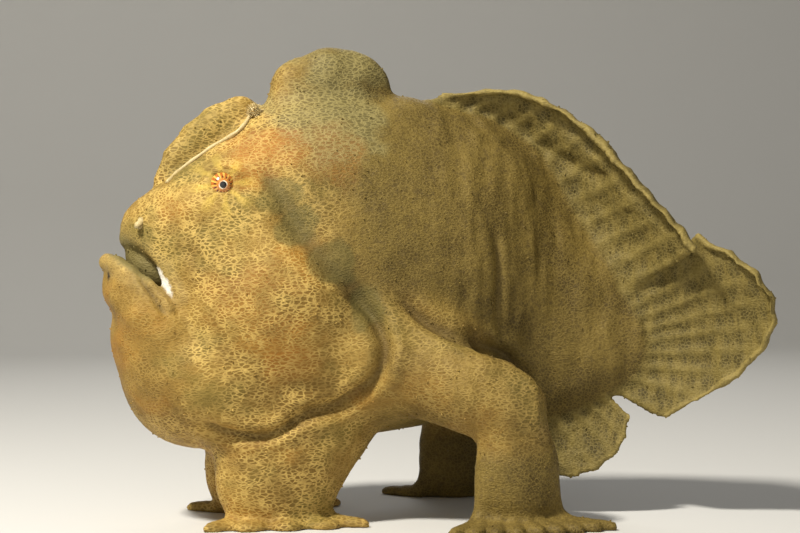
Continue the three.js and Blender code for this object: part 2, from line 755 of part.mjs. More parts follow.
// The fishing rod lies back in the crease on the left of the second spine, and its lure beside the spine's tip.
const rodPath = rodLine.map(([x, z]) => new THREE.Vector3(x, -surfaceHalfWidth(x, z) - 0.5, z));
const rodCurve = new THREE.CatmullRomCurve3(rodPath, false, "catmullrom", 0.5);
const rodSolid = solidOf(closedTube(rodCurve, 22, rod.radius, 8));
const lureBall = new THREE.SphereGeometry(1, 12, 8).scale(...rod.lure);
const lureSolid = solidOf(lureBall.translate(...rodPath.at(-1).clone().add(new THREE.Vector3(1, -0.9, 1.2)).toArray()));
solids.illicium = largest(rodSolid.add(lureSolid).subtract(fleshWithSeam));

for (const [name, way] of [
  ["eye_left", -1],
  ["eye_right", 1],
]) {
  const ball = new THREE.SphereGeometry(eye.radius, 16, 10);
  solids[name] = solidOf(ball.translate(eye.at[0], way * eyeSide, eye.at[1]));
}

// Colour and roughness of each node's surface.
const looks = {
  head: [colours.skin, 0.75],
  lower_jaw: [colours.jaw, 0.75],
  torso: [colours.flank, 0.78],
  tail_stem: [colours.tail, 0.78],
  arm: [colours.limb, 0.78],
  pelvic: [colours.skin, 0.78],
  pectoral: [colours.limb, 0.78],
  second: [colours.spine, 0.75],
  third: [colours.spine, 0.75],
  illicium: [colours.lure, 0.7],
  dorsal: [colours.fin, 0.8],
  caudal: [colours.fin, 0.8],
  anal: [colours.fin, 0.8],
  eye: [colours.eye, 0.15],
};

const bounds = new THREE.Box3();
for (const solid of Object.values(solids)) {
  const { min, max } = solid.boundingBox();
  bounds.union(new THREE.Box3(new THREE.Vector3(...min), new THREE.Vector3(...max)));
}
const middle = bounds.getCenter(new THREE.Vector3());
const group = new THREE.Group();
for (const [name, solid] of Object.entries(solids)) {
  const made = solid.getMesh();
  const places = new Float32Array(made.numVert * 3);
  for (let i = 0; i < made.numVert; i++) {
    const [x, y, z] = made.vertProperties.subarray(i * made.numProp, i * made.numProp + 3);
    places.set([x - middle.x, y - middle.y, z - bounds.min.z], i * 3);
  }
  const geometry = new THREE.BufferGeometry();
  geometry.setAttribute("position", new THREE.BufferAttribute(places, 3));
  geometry.setIndex(new THREE.BufferAttribute(made.triVerts, 1));
  const [color, roughness] = looks[name] ?? looks[name.split("_")[0]];
  const mesh = new THREE.Mesh(geometry, new THREE.MeshStandardMaterial({ color, roughness, metalness: 0 }));
  mesh.name = name;
  group.add(mesh);
}

export default group;
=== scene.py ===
# %% [markdown]
# # A giant frogfish, standing on its fins
# This notebook dresses a solid model of a frogfish as the living animal looks: a soft, heavy body in warty
# skin with a yellow net over olive-brown cells, thin folded fins, a small ringed eye and a half-open mouth.
# The solids are loaded as a fixed frame, and every piece below takes its place from them.

# %% Load the frame
import math

import bmesh
import bpy
import numpy as np
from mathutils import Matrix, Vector
from mathutils.kdtree import KDTree


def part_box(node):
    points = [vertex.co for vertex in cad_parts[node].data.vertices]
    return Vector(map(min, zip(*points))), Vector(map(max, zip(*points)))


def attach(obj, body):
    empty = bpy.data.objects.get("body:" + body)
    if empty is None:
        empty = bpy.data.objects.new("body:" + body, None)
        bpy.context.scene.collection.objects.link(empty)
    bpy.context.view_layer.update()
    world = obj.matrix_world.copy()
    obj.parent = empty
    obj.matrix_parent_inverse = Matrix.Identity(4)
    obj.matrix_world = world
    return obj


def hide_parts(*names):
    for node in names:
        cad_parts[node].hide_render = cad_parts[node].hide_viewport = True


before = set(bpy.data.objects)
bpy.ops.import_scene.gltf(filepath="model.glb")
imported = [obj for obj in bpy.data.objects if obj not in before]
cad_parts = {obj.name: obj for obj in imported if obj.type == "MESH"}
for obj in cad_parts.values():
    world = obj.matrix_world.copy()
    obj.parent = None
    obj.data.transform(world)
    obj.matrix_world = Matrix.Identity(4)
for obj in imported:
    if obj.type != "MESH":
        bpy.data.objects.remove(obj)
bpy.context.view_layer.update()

MM = 0.001
print("frame loaded with", len(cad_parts), "nodes")

# %% [markdown]
# ## The shape's named values
# A body without one hard edge is easiest to describe as eggs and limbs that melt into each other. Each egg
# has a centre, three radii and perhaps a turn in the side view, and each limb is a chain of balls. The
# numbers are millimetres in the fish's own straight frame: the head towards -X and the left flank towards
# -Y. They are the solids' own values, so that skin and solids agree from every side. Only the tongue, the
# pale membrane in the corner of the mouth and the tighter joints of legs and arms belong to the skin alone.

# %% Eggs and limbs
EGGS = {
    "trunk": ((-6, 0, 106), (70, 37, 66), 0), "skull": ((-52, 0, 107), (48, 35, 46), 0),
    "crown": ((-22, 0, 143), (44, 23, 32), 0), "cheek": ((-38, 13, 88), (45, 31, 42), 0),
    "brow": ((-68, 14, 130), (19, 15, 13), 0), "snout": ((-84, 0, 119.5), (19, 20, 15.5), 0),
    "chin": ((-88, 0, 77), (20.5, 24, 18), 0), "throat": ((-70, 0, 64), (34.5, 33, 34), 0),
    "jowl": ((-60, 14, 60), (35, 24, 27), 0), "belly": ((-8, 0, 70), (46, 32, 34), 0),
    "loin": ((36, 0, 104), (42, 29, 60), -0.3), "hindpart": ((66, 0, 82), (36, 16, 38), -0.35),
    "peduncle": ((92, 0, 70), (22, 7.5, 18), 0), "gape": ((-98, 0, 106), (19.5, 26, 7), -0.77),
    "mouth_room": ((-87, 0, 100), (15, 17, 9), -0.77), "tongue": ((-90, 0, 103.5), (14.5, 13, 8.5), -0.77),
    "arm_palm": ((50, 50, 22), (17.5, 9.5, 25), 0), "leg": ((-36, 14, 44), (35, 20, 32), 0),
    "leg_palm": ((-42, 20, 18), (25, 12.5, 24), 0),
}
LIMBS = {
    "dorsal_base": [(14, 0, 161.5, 12), (38, 0, 154, 10), (64, 0, 122, 8), (88, 0, 92, 5)],
    "anal_base": [(34, 0, 58, 11), (60, 0, 50, 7), (86, 0, 56, 5)],
    "upper_lip": [(-99.9, 0, 115.6, 4.2), (-97.2, 8, 116, 4.0), (-92, 14, 113, 3.7), (-84.5, 20.5, 103.5, 3.4),
                  (-81, 24.5, 93, 2.8)],
    "lower_lip": [(-109, 0, 106.5, 3.6), (-106, 9, 105.5, 3.8), (-101, 15, 102, 3.9), (-95, 21, 96, 3.8),
                  (-87.5, 25, 89, 2.8)],
    "lip_bed": [(-105.2, 0, 101.5, 5.3), (-102, 10.5, 99.5, 5.5), (-97, 18, 94.5, 5.5), (-90, 23, 86, 4.6)],
    "membrane": [(-89.5, 18.8, 103.5, 1.6), (-86.5, 20.6, 98.5, 2.3), (-83.8, 22.6, 92.5, 1.9)],
    "mandible": [(-103, 0, 95, 8.4), (-100, 11, 92, 8.5), (-95, 18, 86, 8.5), (-87, 23, 79, 7)],
    "second_spine": [(-86.5, 0, 139.5, 3.8), (-80, 0, 148.5, 6.2), (-72, 0, 156.5, 7.6), (-63, 0, 163, 8.6),
                     (-54.5, 0, 167, 8.2)],
    "third_spine": [(-30, 0, 178, 12.5), (-18, 0, 182, 13.5), (-7, 0, 181.5, 12.5), (-1, 0, 181, 8.8)],
    "arm": [(2, 22, 70, 25), (20, 34, 62, 19.5), (34, 43, 55, 17.5), (47, 48, 49, 15.5)],
}
BEND_FROM, BEND_TO, BEND_ANGLE = 34.0, 112.0, math.radians(30)
BEND_RADIUS = (BEND_TO - BEND_FROM) / BEND_ANGLE
EYE_AT, EYE_RADIUS, EYE_SUNK = (-65.5, 137.6), 5.4, 2.8
LID_RADIUS, LID_TUBE, LID_RISE = 6.0, 1.8, 0.8


def melt(a, b, soft):
    """The smaller of two distances, rounded where they meet."""
    h = np.maximum(soft - np.abs(a - b), 0) / soft
    return np.minimum(a, b) - h * h * soft / 4


def carve(a, b, soft):
    """The first shape with the second hollowed out of it."""
    return -melt(-a, b, soft)


def egg(x, y, z, name):
    (cx, cy, cz), (rx, ry, rz), turn = EGGS[name]
    c, s = math.cos(turn), math.sin(turn)
    dx, dz = x - cx, z - cz
    u, v, w = (dx * c + dz * s) / rx, (y - cy) / ry, (dz * c - dx * s) / rz
    reach = np.sqrt(u * u + v * v + w * w)
    slope = np.sqrt((u / rx) ** 2 + (v / ry) ** 2 + (w / rz) ** 2)
    return reach * (reach - 1) / np.maximum(slope, 1e-6)


def limb(x, y, z, joints, flatness=1.0):
    joints = LIMBS[joints] if isinstance(joints, str) else joints
    nearest = None
    for (ax, ay, az, ar), (bx, by, bz, br) in zip(joints, joints[1:]):
        ex, ey, ez = bx - ax, (by - ay) / flatness, bz - az
        fx, fy, fz = x - ax, (y - ay) / flatness, z - az
        t = np.clip((fx * ex + fy * ey + fz * ez) / (ex * ex + ey * ey + ez * ez), 0, 1)
        gap = np.sqrt((fx - t * ex) ** 2 + (fy - t * ey) ** 2 + (fz - t * ez) ** 2) - (ar + t * (br - ar))
        nearest = gap if nearest is None else melt(nearest, gap, 1.2)
    return nearest


print(len(EGGS), "eggs and", len(LIMBS), "limbs")

# %% [markdown]
# ## Melting them together
# The order matters as it does in clay: first the big masses with wide soft joints, then cheeks and jaw with
# tighter ones, then the mouth is hollowed out and the lips are laid round it. Everything is written for
# whole arrays of points at once, because the skin is found by asking at a few million places.

# %% The body as one field


def body_field(x, y, z):
    side = np.abs(y)
    d = egg(x, y, z, "trunk")
    for name, soft in [("skull", 14), ("crown", 14), ("throat", 12), ("belly", 14), ("loin", 18),
                       ("hindpart", 16), ("peduncle", 14)]:
        d = melt(d, egg(x, y, z, name), soft)
    d = melt(d, limb(x, y, z, "dorsal_base"), 12)
    d = melt(d, limb(x, y, z, "anal_base"), 10)
    d = melt(d, egg(x, side, z, "jowl"), 5)
    d = melt(d, egg(x, side, z, "cheek"), 4)
    d = melt(d, egg(x, side, z, "brow"), 9)
    d = melt(d, egg(x, y, z, "snout"), 8)
    d = melt(d, egg(x, y, z, "chin"), 8)
    d = melt(d, limb(x, side, z, "mandible"), 6)
    d = melt(d, limb(x, side, z, "lip_bed"), 4)
    d = carve(d, egg(x, y, z, "gape"), 1.5)
    d = carve(d, egg(x, y, z, "mouth_room"), 2)
    d = melt(d, egg(x, y, z, "tongue"), 1.5)
    d = melt(d, limb(x, side, z, "membrane"), 1)
    d = melt(d, limb(x, side, z, "upper_lip"), 2)
    d = melt(d, limb(x, side, z, "lower_lip"), 1.5)
    d = melt(d, limb(x, y, z, "third_spine", 0.72), 8)
    return melt(d, limb(x, y, z, "second_spine", 0.72), 2.5)


def half_width(x, z):
    inside, outside = 0.0, 90.0
    for _ in range(40):
        middle = (inside + outside) / 2
        if body_field(np.float64(x), middle, np.float64(z)) < 0:
            inside = middle
        else:
            outside = middle
    return outside


def unbent(x, y):
    """Where a posed place was before the tail swung to the left."""
    turn = np.arctan2(x - BEND_FROM, y + BEND_RADIUS)
    c, s = math.cos(BEND_ANGLE), math.sin(BEND_ANGLE)
    u = np.where(turn <= 0, x, BEND_FROM + BEND_RADIUS * turn)
    v = np.where(turn <= 0, y, np.hypot(x - BEND_FROM, y + BEND_RADIUS) - BEND_RADIUS)
    past = turn > BEND_ANGLE
    u = np.where(past, BEND_TO + (x - BEND_FROM) * c - (y + BEND_RADIUS) * s, u)
    v = np.where(past, (x - BEND_FROM) * s + (y + BEND_RADIUS) * c - BEND_RADIUS, v)
    return u, v


def pose(p):
    """The bend itself, for an array of points."""
    into = np.clip(p[:, 0] - BEND_FROM, 0, BEND_TO - BEND_FROM)
    past = np.maximum(0, p[:, 0] - BEND_TO)
    turn = into / BEND_RADIUS
    x = np.minimum(p[:, 0], BEND_FROM) + past * np.cos(turn) + (p[:, 1] + BEND_RADIUS) * np.sin(turn)
    y = -BEND_RADIUS * (1 - np.cos(turn)) - past * np.sin(turn) + p[:, 1] * np.cos(turn)
    return np.stack([x, y, p[:, 2]], 1)


eye_side = half_width(*EYE_AT) - EYE_SUNK
eye_box = [Vector(v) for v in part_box("eye_left")]
SHIFT = (eye_box[0] + eye_box[1]) / 2 / MM - Vector((EYE_AT[0], -eye_side, EYE_AT[1]))
print("fish frame sits at", [round(v, 2) for v in SHIFT], "mm in the model's frame")

# %% [markdown]
# ## Fins as rows of rays
# A fin is a sheet with a root line, a line of tips and a number of rays between them. The same rule gives
# the middle surface of the back, tail and anal fins: each ray leaves the body, leans to the fish's left and
# rolls its end over, so the margin hangs above the dish of the fin as in a cupped hand. Skin stretches
# between the rays, so the sheet is thick on a ray and thin beside it.

# %% Fin rules
FINS = {
    "dorsal_fin": dict(rays=13, base=[(16, 164), (38, 154), (58, 138), (76, 117), (94, 88.5)],
                       tips=[(30, 176), (59.4, 173.6), (88.2, 157.6), (115.3, 131.6), (138, 110)],
                       lean=[2, 8, 12, 15, 19], roll=[1, 9, 15, 17, 9], turn=2.0, dish=3.0, scallop=0.012,
                       wedge=(5, 12, 0.42)),
    "caudal_fin": dict(rays=9, base=[(93, 80), (97, 76), (98, 70), (97, 63), (92, 58)],
                       tips=[(140, 116.5), (162, 101), (169.5, 82), (156, 61), (126, 42)],
                       lean=[10, 14, 11, 5, 3], roll=[3, 9, 8, 3, 1], turn=2.1, dish=2.0, scallop=0.02,
                       wedge=(5, 9, 0.4)),
    "anal_fin": dict(rays=8, base=[(38, 54), (52, 49), (66, 49), (80, 53), (88, 58)],
                     tips=[(52, 27), (72, 17), (92, 18), (106, 28), (111, 42)],
                     lean=[3, 4, 5, 4, 3], roll=[0.5] * 5, turn=0.8, dish=0.0, scallop=0.03, wedge=(5, 8, 0.5)),
}


def through(points, t):
    """A smooth line through evenly numbered points (Catmull-Rom), at t from 0 to 1."""
    p = np.array(points, float).reshape(len(points), -1)
    p = np.vstack([2 * p[0] - p[1], p, 2 * p[-1] - p[-2]])
    at = np.clip(np.asarray(t, float), 0, 1) * (len(points) - 1)
    i = np.minimum(at.astype(int), len(points) - 2)
    w = (at - i)[..., None]
    a, b, c, d = p[i], p[i + 1], p[i + 2], p[i + 3]
    return 0.5 * (2 * b + (c - a) * w + (2 * a - 5 * b + 4 * c - d) * w ** 2 + (3 * b - a - 3 * c + d) * w ** 3)


def ray_share(s, rays):
    return 0.5 + 0.5 * np.cos(2 * np.pi * s * (rays - 1))


def fin_middle(fin, s, t):
    """Points of the middle surface for arrays s across the rays and t from root to tip, posed."""
    base, tips = through(fin["base"], s), through(fin["tips"], s)
    ray = tips - base
    length = np.linalg.norm(ray, axis=-1) * (1 - fin["scallop"] * (1 - ray_share(s, fin["rays"])) * t)
    ray = ray / np.linalg.norm(ray, axis=-1, keepdims=True)
    lean = through(fin["lean"], s)[..., 0]
    roll = np.maximum(0.3, through(fin["roll"], s)[..., 0])
    path = t * (length + roll)
    straight = np.minimum(path, length)
    radius = roll / fin["turn"]
    turned = np.maximum(0, path - length) / roll * fin["turn"]
    along = straight + radius * np.sin(turned)
    y = -lean * (straight / length) ** 2 - radius * (1 - np.cos(turned))
    y = y + fin["dish"] * np.sin(np.pi * straight / length) * np.sin(np.pi * s)
    p = np.stack([base[..., 0] + ray[..., 0] * along, y, base[..., 1] + ray[..., 1] * along], -1)
    return pose(p.reshape(-1, 3)).reshape(p.shape)


print("fins:", {name: fin["rays"] for name, fin in FINS.items()})

# %% [markdown]
# ## Skin on a fine grid
# The field is sampled every 1.35 mm. Each grid cell that the surface crosses gets one vertex at the average
# of the crossings, and each crossed grid edge gets one quad: this is called surface nets. It gives even
# quads all over the body, which take displacement well. The fins and the fingers are laid in as many small
# balls and melted in. Those near a fin's root are large and melt widely, so the flank flows out into the
# fin and no edge shows between them.

# %% Sample the field
STEP = 1.35
low = np.array([-118.0, -80.0, -5.0])
counts = np.array([int(v) for v in ((158 - low[0]) / STEP, (80 - low[1]) / STEP, (203 - low[2]) / STEP)])
axes = [low[i] + STEP * np.arange(counts[i]) for i in range(3)]
X, Y, Z = np.meshgrid(*axes, indexing="ij", sparse=True)
straight_x, straight_y = unbent(X + 0 * Z, Y + 0 * Z)
field = body_field(straight_x, straight_y, Z)
side_y = np.abs(Y)
leg = melt(egg(X, side_y, Z, "leg"), egg(X, side_y, Z, "leg_palm"), 10)
arm = melt(limb(X, side_y, Z, "arm", 0.86), egg(X, side_y, Z, "arm_palm"), 8)
field = melt(melt(field, leg, 7), arm, 11)
from_pupil = np.hypot(X - EYE_AT[0], Z - EYE_AT[1])
lid = np.hypot(from_pupil - LID_RADIUS, side_y - eye_side - LID_RISE) - LID_TUBE
field = melt(field, lid, 3)
print("grid", counts.tolist(), "=", int(np.prod(counts)), "samples")

# %% [markdown]
# ## Fins and fingers as strewn balls
# A thin curved sheet has no simple distance formula, so it is filled with thousands of small balls, and
# only the grid points close to a ball are asked for their distance to it. Hands and feet are sheets too:
# the rays come down inside the palm, turn over a knee on to the floor and spread out like fingers.

# %% Strew the balls and melt them in


FAR_AWAY = 40.0


def strew(points, radii, reach=6.0):
    """Smallest distance from each grid point to the strewn balls, near them only."""
    near = np.full(counts, FAR_AWAY, np.float32)
    span = int(math.ceil(reach / STEP))
    offs = np.stack(np.meshgrid(*[np.arange(-span, span + 1)] * 3, indexing="ij"), -1).reshape(-1, 3)
    offs = offs[np.linalg.norm(offs, axis=1) <= span]
    cells = np.round((points - low) / STEP).astype(int)
    for off in offs:
        at = cells + off
        ok = np.all((at >= 0) & (at < counts), 1)
        gap = np.linalg.norm(at[ok] * STEP + low - points[ok], axis=1) - radii[ok]
        flat = np.ravel_multi_index(at[ok].T, counts)
        np.minimum.at(near.reshape(-1), flat, gap.astype(np.float32))
    return near


HANDS = {
    "pelvic": dict(rays=5, root=(-55, -28), floor=(-61, -19), side=20, foot=9, spread=(-0.75, 0.7)),
    "pectoral": dict(rays=9, root=(38, 62), floor=(30, 72), side=50, foot=11, spread=(-0.6, 0.95)),
}


def hand_points(hand, way, s, t, top=18.0, knee=7.0):
    """Points of a hand's middle surface for s across its fingers and t from palm to finger tip."""
    drop, arc = top - knee, knee * math.pi / 2
    foot = hand["foot"] * (0.7 + 0.3 * ray_share(s, hand["rays"]))
    path = t * (drop + arc + foot)
    turn = np.clip((path - drop) / knee, 0, math.pi / 2)
    out = knee * (1 - np.cos(turn)) + np.maximum(0, path - drop - arc)
    height = top - np.minimum(path, drop) - knee * np.sin(turn) + 1.2
    heading = hand["spread"][0] + (hand["spread"][1] - hand["spread"][0]) * s
    a = hand["root"][0] + (hand["floor"][0] - hand["root"][0]) * t
    b = hand["root"][1] + (hand["floor"][1] - hand["root"][1]) * t
    outward = way * (hand["side"] + out * np.cos(heading))
    return np.stack([a + (b - a) * s + out * np.sin(heading), outward, height], -1)


for name, hand in HANDS.items():
    S, T = np.meshgrid(np.linspace(0, 1, 12 * (hand["rays"] - 1) + 1), np.linspace(0, 1, 46), indexing="ij")
    thick = (4 + (1.3 - 4) * T) + 1.3 * ray_share(S, hand["rays"]) * np.minimum(1, T * 1.6)
    thick = np.where(T > 0.94, thick * 0.8, thick)
    for way in (-1, 1):
        pts = hand_points(hand, way, S, T).reshape(-1, 3)
        field = melt(field, strew(pts, thick.reshape(-1)), 2.5)
for name, fin in FINS.items():
    wide, soft, far = fin["wedge"]
    S, T = np.meshgrid(np.linspace(0.04, 0.96, 4 * fin["rays"]), np.linspace(0, far, 14), indexing="ij")
    thick = 1 + (wide - 1) * (1 - T / far) ** 1.3
    field = melt(field, strew(fin_middle(fin, S, T).reshape(-1, 3), thick.reshape(-1), wide + soft), soft)
for name, fin in FINS.items():
    S, T = np.meshgrid(np.linspace(0, 1, 13 * fin["rays"]), np.linspace(0, 1, 90), indexing="ij")
    ray = ray_share(S, fin["rays"]) ** 2
    thick = 1.15 + 0.3 * ray * np.minimum(1, 3 * T) * (1 - T)
    spots = fin_middle(fin, S, T).reshape(-1, 3)
    field = melt(field, strew(spots, thick.reshape(-1), 4.5), 2.0)
    fin["spots"], fin["numbers"] = spots, np.stack([S.ravel(), T.ravel()], 1)
field = np.maximum(field, 0.02 - (Z + 0 * X + 0 * Y))
print("field ready, lowest", round(float(field.min()), 1), "mm")

# %% [markdown]
# ## From the field to a net of quads
# Numpy finds all crossed cells at once. The four cells round a crossed edge give the corners of one quad,
# and the side on which the flesh lies decides which way round they go, so every face looks outwards.

# %% Surface nets


def surface_net(values, origin, step):
    inside = values < 0
    n = np.array(values.shape) - 1
    corners = [(i, j, k) for i in (0, 1) for j in (0, 1) for k in (0, 1)]
    part = lambda a, c: a[c[0]:c[0] + n[0], c[1]:c[1] + n[1], c[2]:c[2] + n[2]]
    total = sum(part(inside, c).astype(np.int8) for c in corners)
    cells = np.argwhere((total > 0) & (total < 8))
    places, hits = np.zeros((len(cells), 3)), np.zeros(len(cells))
    for a in corners:
        for axis in range(3):
            if a[axis]:
                continue
            b = tuple(1 if i == axis else v for i, v in enumerate(a))
            va, vb = (values[tuple((cells + c).T)] for c in (a, b))
            cross = (va < 0) != (vb < 0)
            t = np.where(cross, va / np.where(cross, va - vb, 1), 0)
            where = np.array(a, float) + t[:, None] * (np.array(b) - np.array(a))
            places += where * cross[:, None]
            hits += cross
    places = (cells + places / hits[:, None]) * step + origin
    index = np.full(values.shape, -1, np.int64)
    index[tuple(cells.T)] = np.arange(len(cells))
    quads = []
    for axis in range(3):
        u, v = (axis + 1) % 3, (axis + 2) % 3
        lo = [slice(None)] * 3
        hi = [slice(None)] * 3
        lo[axis], hi[axis] = slice(0, -1), slice(1, None)
        edge = inside[tuple(lo)] != inside[tuple(hi)]
        at = np.argwhere(edge)
        at = at[(at[:, u] > 0) & (at[:, v] > 0)]
        eu, ev = np.eye(3, dtype=int)[u], np.eye(3, dtype=int)[v]
        ring = [index[tuple((at - du * eu - dv * ev).T)] for du, dv in ((0, 0), (1, 0), (1, 1), (0, 1))]
        q = np.stack(ring, 1)
        back = ~inside[tuple(at.T)]
        q[back] = q[back][:, ::-1]
        quads.append(q)
    return places, np.concatenate(quads)


skin_points, skin_quads = surface_net(field, low, STEP)
print("skin:", len(skin_points), "points,", len(skin_quads), "quads")

# %% [markdown]
# ## Arrays into meshes
# Large meshes are filled fastest through foreach_set. Before that the net is relaxed: each point moves
# towards the mean of its neighbours and then slightly back, which takes out the steps of the grid without
# shrinking the body.

# %% Make Blender meshes


def put_in_scene(name, data):
    """A new object in the scene that shows a mesh, shines as a lamp or looks as a camera."""
    obj = bpy.data.objects.new(name, data)
    bpy.context.scene.collection.objects.link(obj)
    return obj


def smooth_object(name, bm):
    """The faces of a bmesh as a smooth object."""
    bmesh.ops.recalc_face_normals(bm, faces=bm.faces)
    mesh = bpy.data.meshes.new(name)
    bm.to_mesh(mesh)
    bm.free()
    mesh.polygons.foreach_set("use_smooth", [True] * len(mesh.polygons))
    return put_in_scene(name, mesh)


def paint_number(obj, label, values):
    """One number for each vertex, which a material can read by its label."""
    obj.data.attributes.new(label, "FLOAT", "POINT").data.foreach_set("value", np.asarray(values, np.float32))


def mesh_object(name, points, faces):
    mesh = bpy.data.meshes.new(name)
    faces = np.asarray(faces, np.int32)
    mesh.vertices.add(len(points))
    mesh.vertices.foreach_set("co", ((np.asarray(points) + np.array(SHIFT)) * MM).astype(np.float32).ravel())
    mesh.loops.add(faces.size)
    mesh.loops.foreach_set("vertex_index", faces.ravel())
    mesh.polygons.add(len(faces))
    mesh.polygons.foreach_set("loop_start", np.arange(len(faces), dtype=np.int32) * faces.shape[1])
    mesh.update(calc_edges=True)
    mesh.validate()
    mesh.polygons.foreach_set("use_smooth", [True] * len(mesh.polygons))
    return put_in_scene(name, mesh)


BACK = 1.04


def relax(points, quads, rounds, share=0.5):
    """Evens the net out: each point moves part of the way to the mean of its neighbours, then back."""
    edges = np.concatenate([quads[:, [0, 1]], quads[:, [1, 2]], quads[:, [2, 3]], quads[:, [3, 0]]])
    edges = np.concatenate([edges, edges[:, ::-1]])
    degree = np.bincount(edges[:, 0], minlength=len(points))[:, None]
    p = points.copy()
    for way in [share, -share * BACK] * rounds:
        mean = np.stack([np.bincount(edges[:, 0], p[edges[:, 1], i], len(p)) for i in range(3)], 1) / degree
        p += way * (mean - p)
    return p


def normals_of(points, quads):
    n = np.cross(points[quads[:, 2]] - points[quads[:, 0]], points[quads[:, 3]] - points[quads[:, 1]])
    out = np.zeros_like(points)
    for i in range(4):
        for axis in range(3):
            out[:, axis] += np.bincount(quads[:, i], n[:, axis], len(points))
    return out / np.maximum(np.linalg.norm(out, axis=1, keepdims=True), 1e-12)


skin_points = relax(skin_points, skin_quads, 4)
skin_normals = normals_of(skin_points, skin_quads)
print("skin relaxed, from", skin_points.min(0).round(1), "to", skin_points.max(0).round(1))

# %% [markdown]
# ## Wrinkles, folds and warts of the skin
# A frogfish is a bag of loose skin. Long folds run down the flank behind the head and cross the root of the
# back fin, a deep fold sets the jowl off from the leg, and the whole surface is grainy. Each of these is a
# small move of the net along its own normal: the folds follow paths in the side view, and the grain is
# smooth noise that is sampled in millimetres.

# %% Noise and folds


LATTICE = 64


def noise(p, size, seed=0):
    """Smooth value noise from -1 to 1 for an array of points; the lattice values come from a fixed seed."""
    table = np.random.default_rng(100 + seed).uniform(-1, 1, (LATTICE,) * 3)
    q = p / size + 200.0
    cell = np.floor(q).astype(int)
    f = q - cell
    f = f * f * (3 - 2 * f)
    out = 0
    for corner in np.ndindex(2, 2, 2):
        weight = np.prod(np.where(corner, f, 1 - f), axis=1)
        out = out + weight * table[tuple(((cell + corner) % LATTICE).T)]
    return out


def ramp(value, start, end):
    t = np.clip((value - start) / (end - start), 0, 1)
    return t * t * (3 - 2 * t)


def crease(points, path, width, depth):
    """Depth of a groove along a path given as side-view places (x, z), strongest in its middle."""
    line = through(path, np.linspace(0, 1, 120))
    gap = np.full(len(points), 1e3)
    share = np.zeros(len(points))
    for i, (x, z) in enumerate(line):
        d = np.hypot(points[:, 0] - x, points[:, 2] - z)
        closer = d < gap
        gap[closer] = d[closer]
        share[closer] = i / (len(line) - 1)
    ends = np.minimum(1, np.minimum(share, 1 - share) * 6 + 0.15)
    groove, bank = np.exp(-(gap / width) ** 2), np.exp(-((gap - 2.2 * width) / (1.2 * width)) ** 2)
    return depth * ends * (groove - 0.38 * bank)


FIN_NEAR, FLOOR_GAP = 5.0, 0.03
P, N = skin_points, skin_normals
fin_share, fin_along, fin_ray = np.zeros(len(P)), np.zeros(len(P)), np.zeros(len(P))
for fin in FINS.values():
    tree = KDTree(len(fin["spots"]))
    for i, spot in enumerate(fin["spots"]):
        tree.insert(spot, i)
    tree.balance()
    spots, numbers = fin["spots"], fin["numbers"]
    around = np.all((P > spots.min(0) - FIN_NEAR - 1) & (P < spots.max(0) + FIN_NEAR + 1), 1)
    for i in np.flatnonzero(around):
        _, nearest, gap = tree.find(P[i])
        if gap < FIN_NEAR:
            s, t = numbers[nearest]
            fin_share[i] = max(fin_share[i], 1 - gap / FIN_NEAR)
            fin_along[i] = t
            fin_ray[i] = ray_share(s, fin["rays"]) ** 2 * min(1, 4 * t)
on_fin = ramp(fin_share, 0.15, 0.6)
move = on_fin * (0.75 * fin_ray - 0.25) * (1 - ramp(fin_along, 0.7, 0.98))
move += on_fin * 0.3 * noise(P * np.array([1, 1, 2.2]), 3.0, 8)
outer = ramp(np.abs(P[:, 1]), 6, 16)
rear = ramp(P[:, 0], 8, 40) * ramp(P[:, 2], 25, 50)
wavy = P * np.array([1.0, 0.6, 0.22])
move += rear * (0.75 * noise(wavy, 5.2, 1) + 0.45 * noise(wavy, 2.9, 2))
move += (1 - rear) * 0.16 * noise(P, 4.2, 3)
move += 0.14 * noise(P, 2.1, 4) + 0.5 * noise(P, 21, 5) + (1 - on_fin) * 0.32 * noise(P, 8.5, 6)
for path, width, depth in [
    ([(-52.3, 147.3), (-43.6, 135.5), (-35.6, 118.9), (-24.3, 105.3), (-14.6, 95.7), (-6.5, 84.5)], 5.5, 2.6),
    ([(-14.6, 95.7), (-6.1, 84.4), (-2.8, 71.5), (-7.8, 58.7), (-18.4, 50.1), (-30.9, 46.7), (-40.2, 42.1)],
     2.8, 3.4),
    ([(-36, 44), (-39.6, 41.7), (-50.1, 37.5), (-63.7, 38.5), (-76, 43.5)], 2.0, 2.6),
    ([(-98.2, 101.7), (-94.5, 96), (-91, 91), (-87.9, 85.5)], 1.2, 2.3),
    ([(3, 93.5), (17.7, 81.9), (34.1, 74.9), (52.4, 67.4), (62.8, 57.2)], 2.6, 3.2),
    ([(45.9, 119.7), (48, 103.4), (48, 82.9), (50.2, 70.6)], 1.7, 1.1),
    ([(39.1, 165), (60, 161), (82, 148), (98, 138)], 2.2, 1.2),
    ([(46, 158), (66, 151), (84, 138)], 1.8, 1.0),
    ([(-84, 136), (-74, 146), (-60, 156), (-52, 162)], 1.2, 0.7),
    ([(-88, 108), (-79, 111), (-74, 104)], 2.6, 0.6),
]:
    move -= outer * crease(P, path, width, depth)
still = ramp(P[:, 2], 1.5, 7)
eye_gap = np.sqrt((P[:, 0] - EYE_AT[0]) ** 2 + (P[:, 2] - EYE_AT[1]) ** 2)
still = still * np.where(np.abs(P[:, 1]) > 14, ramp(eye_gap, 6, 11), 1)
P = P + N * (move * still)[:, None]
P[:, 2] = np.maximum(P[:, 2], FLOOR_GAP)
skin = mesh_object("skin", P, skin_quads)
print("skin moved by", round(float(move.min()), 2), "to", round(float(move.max()), 2), "mm")

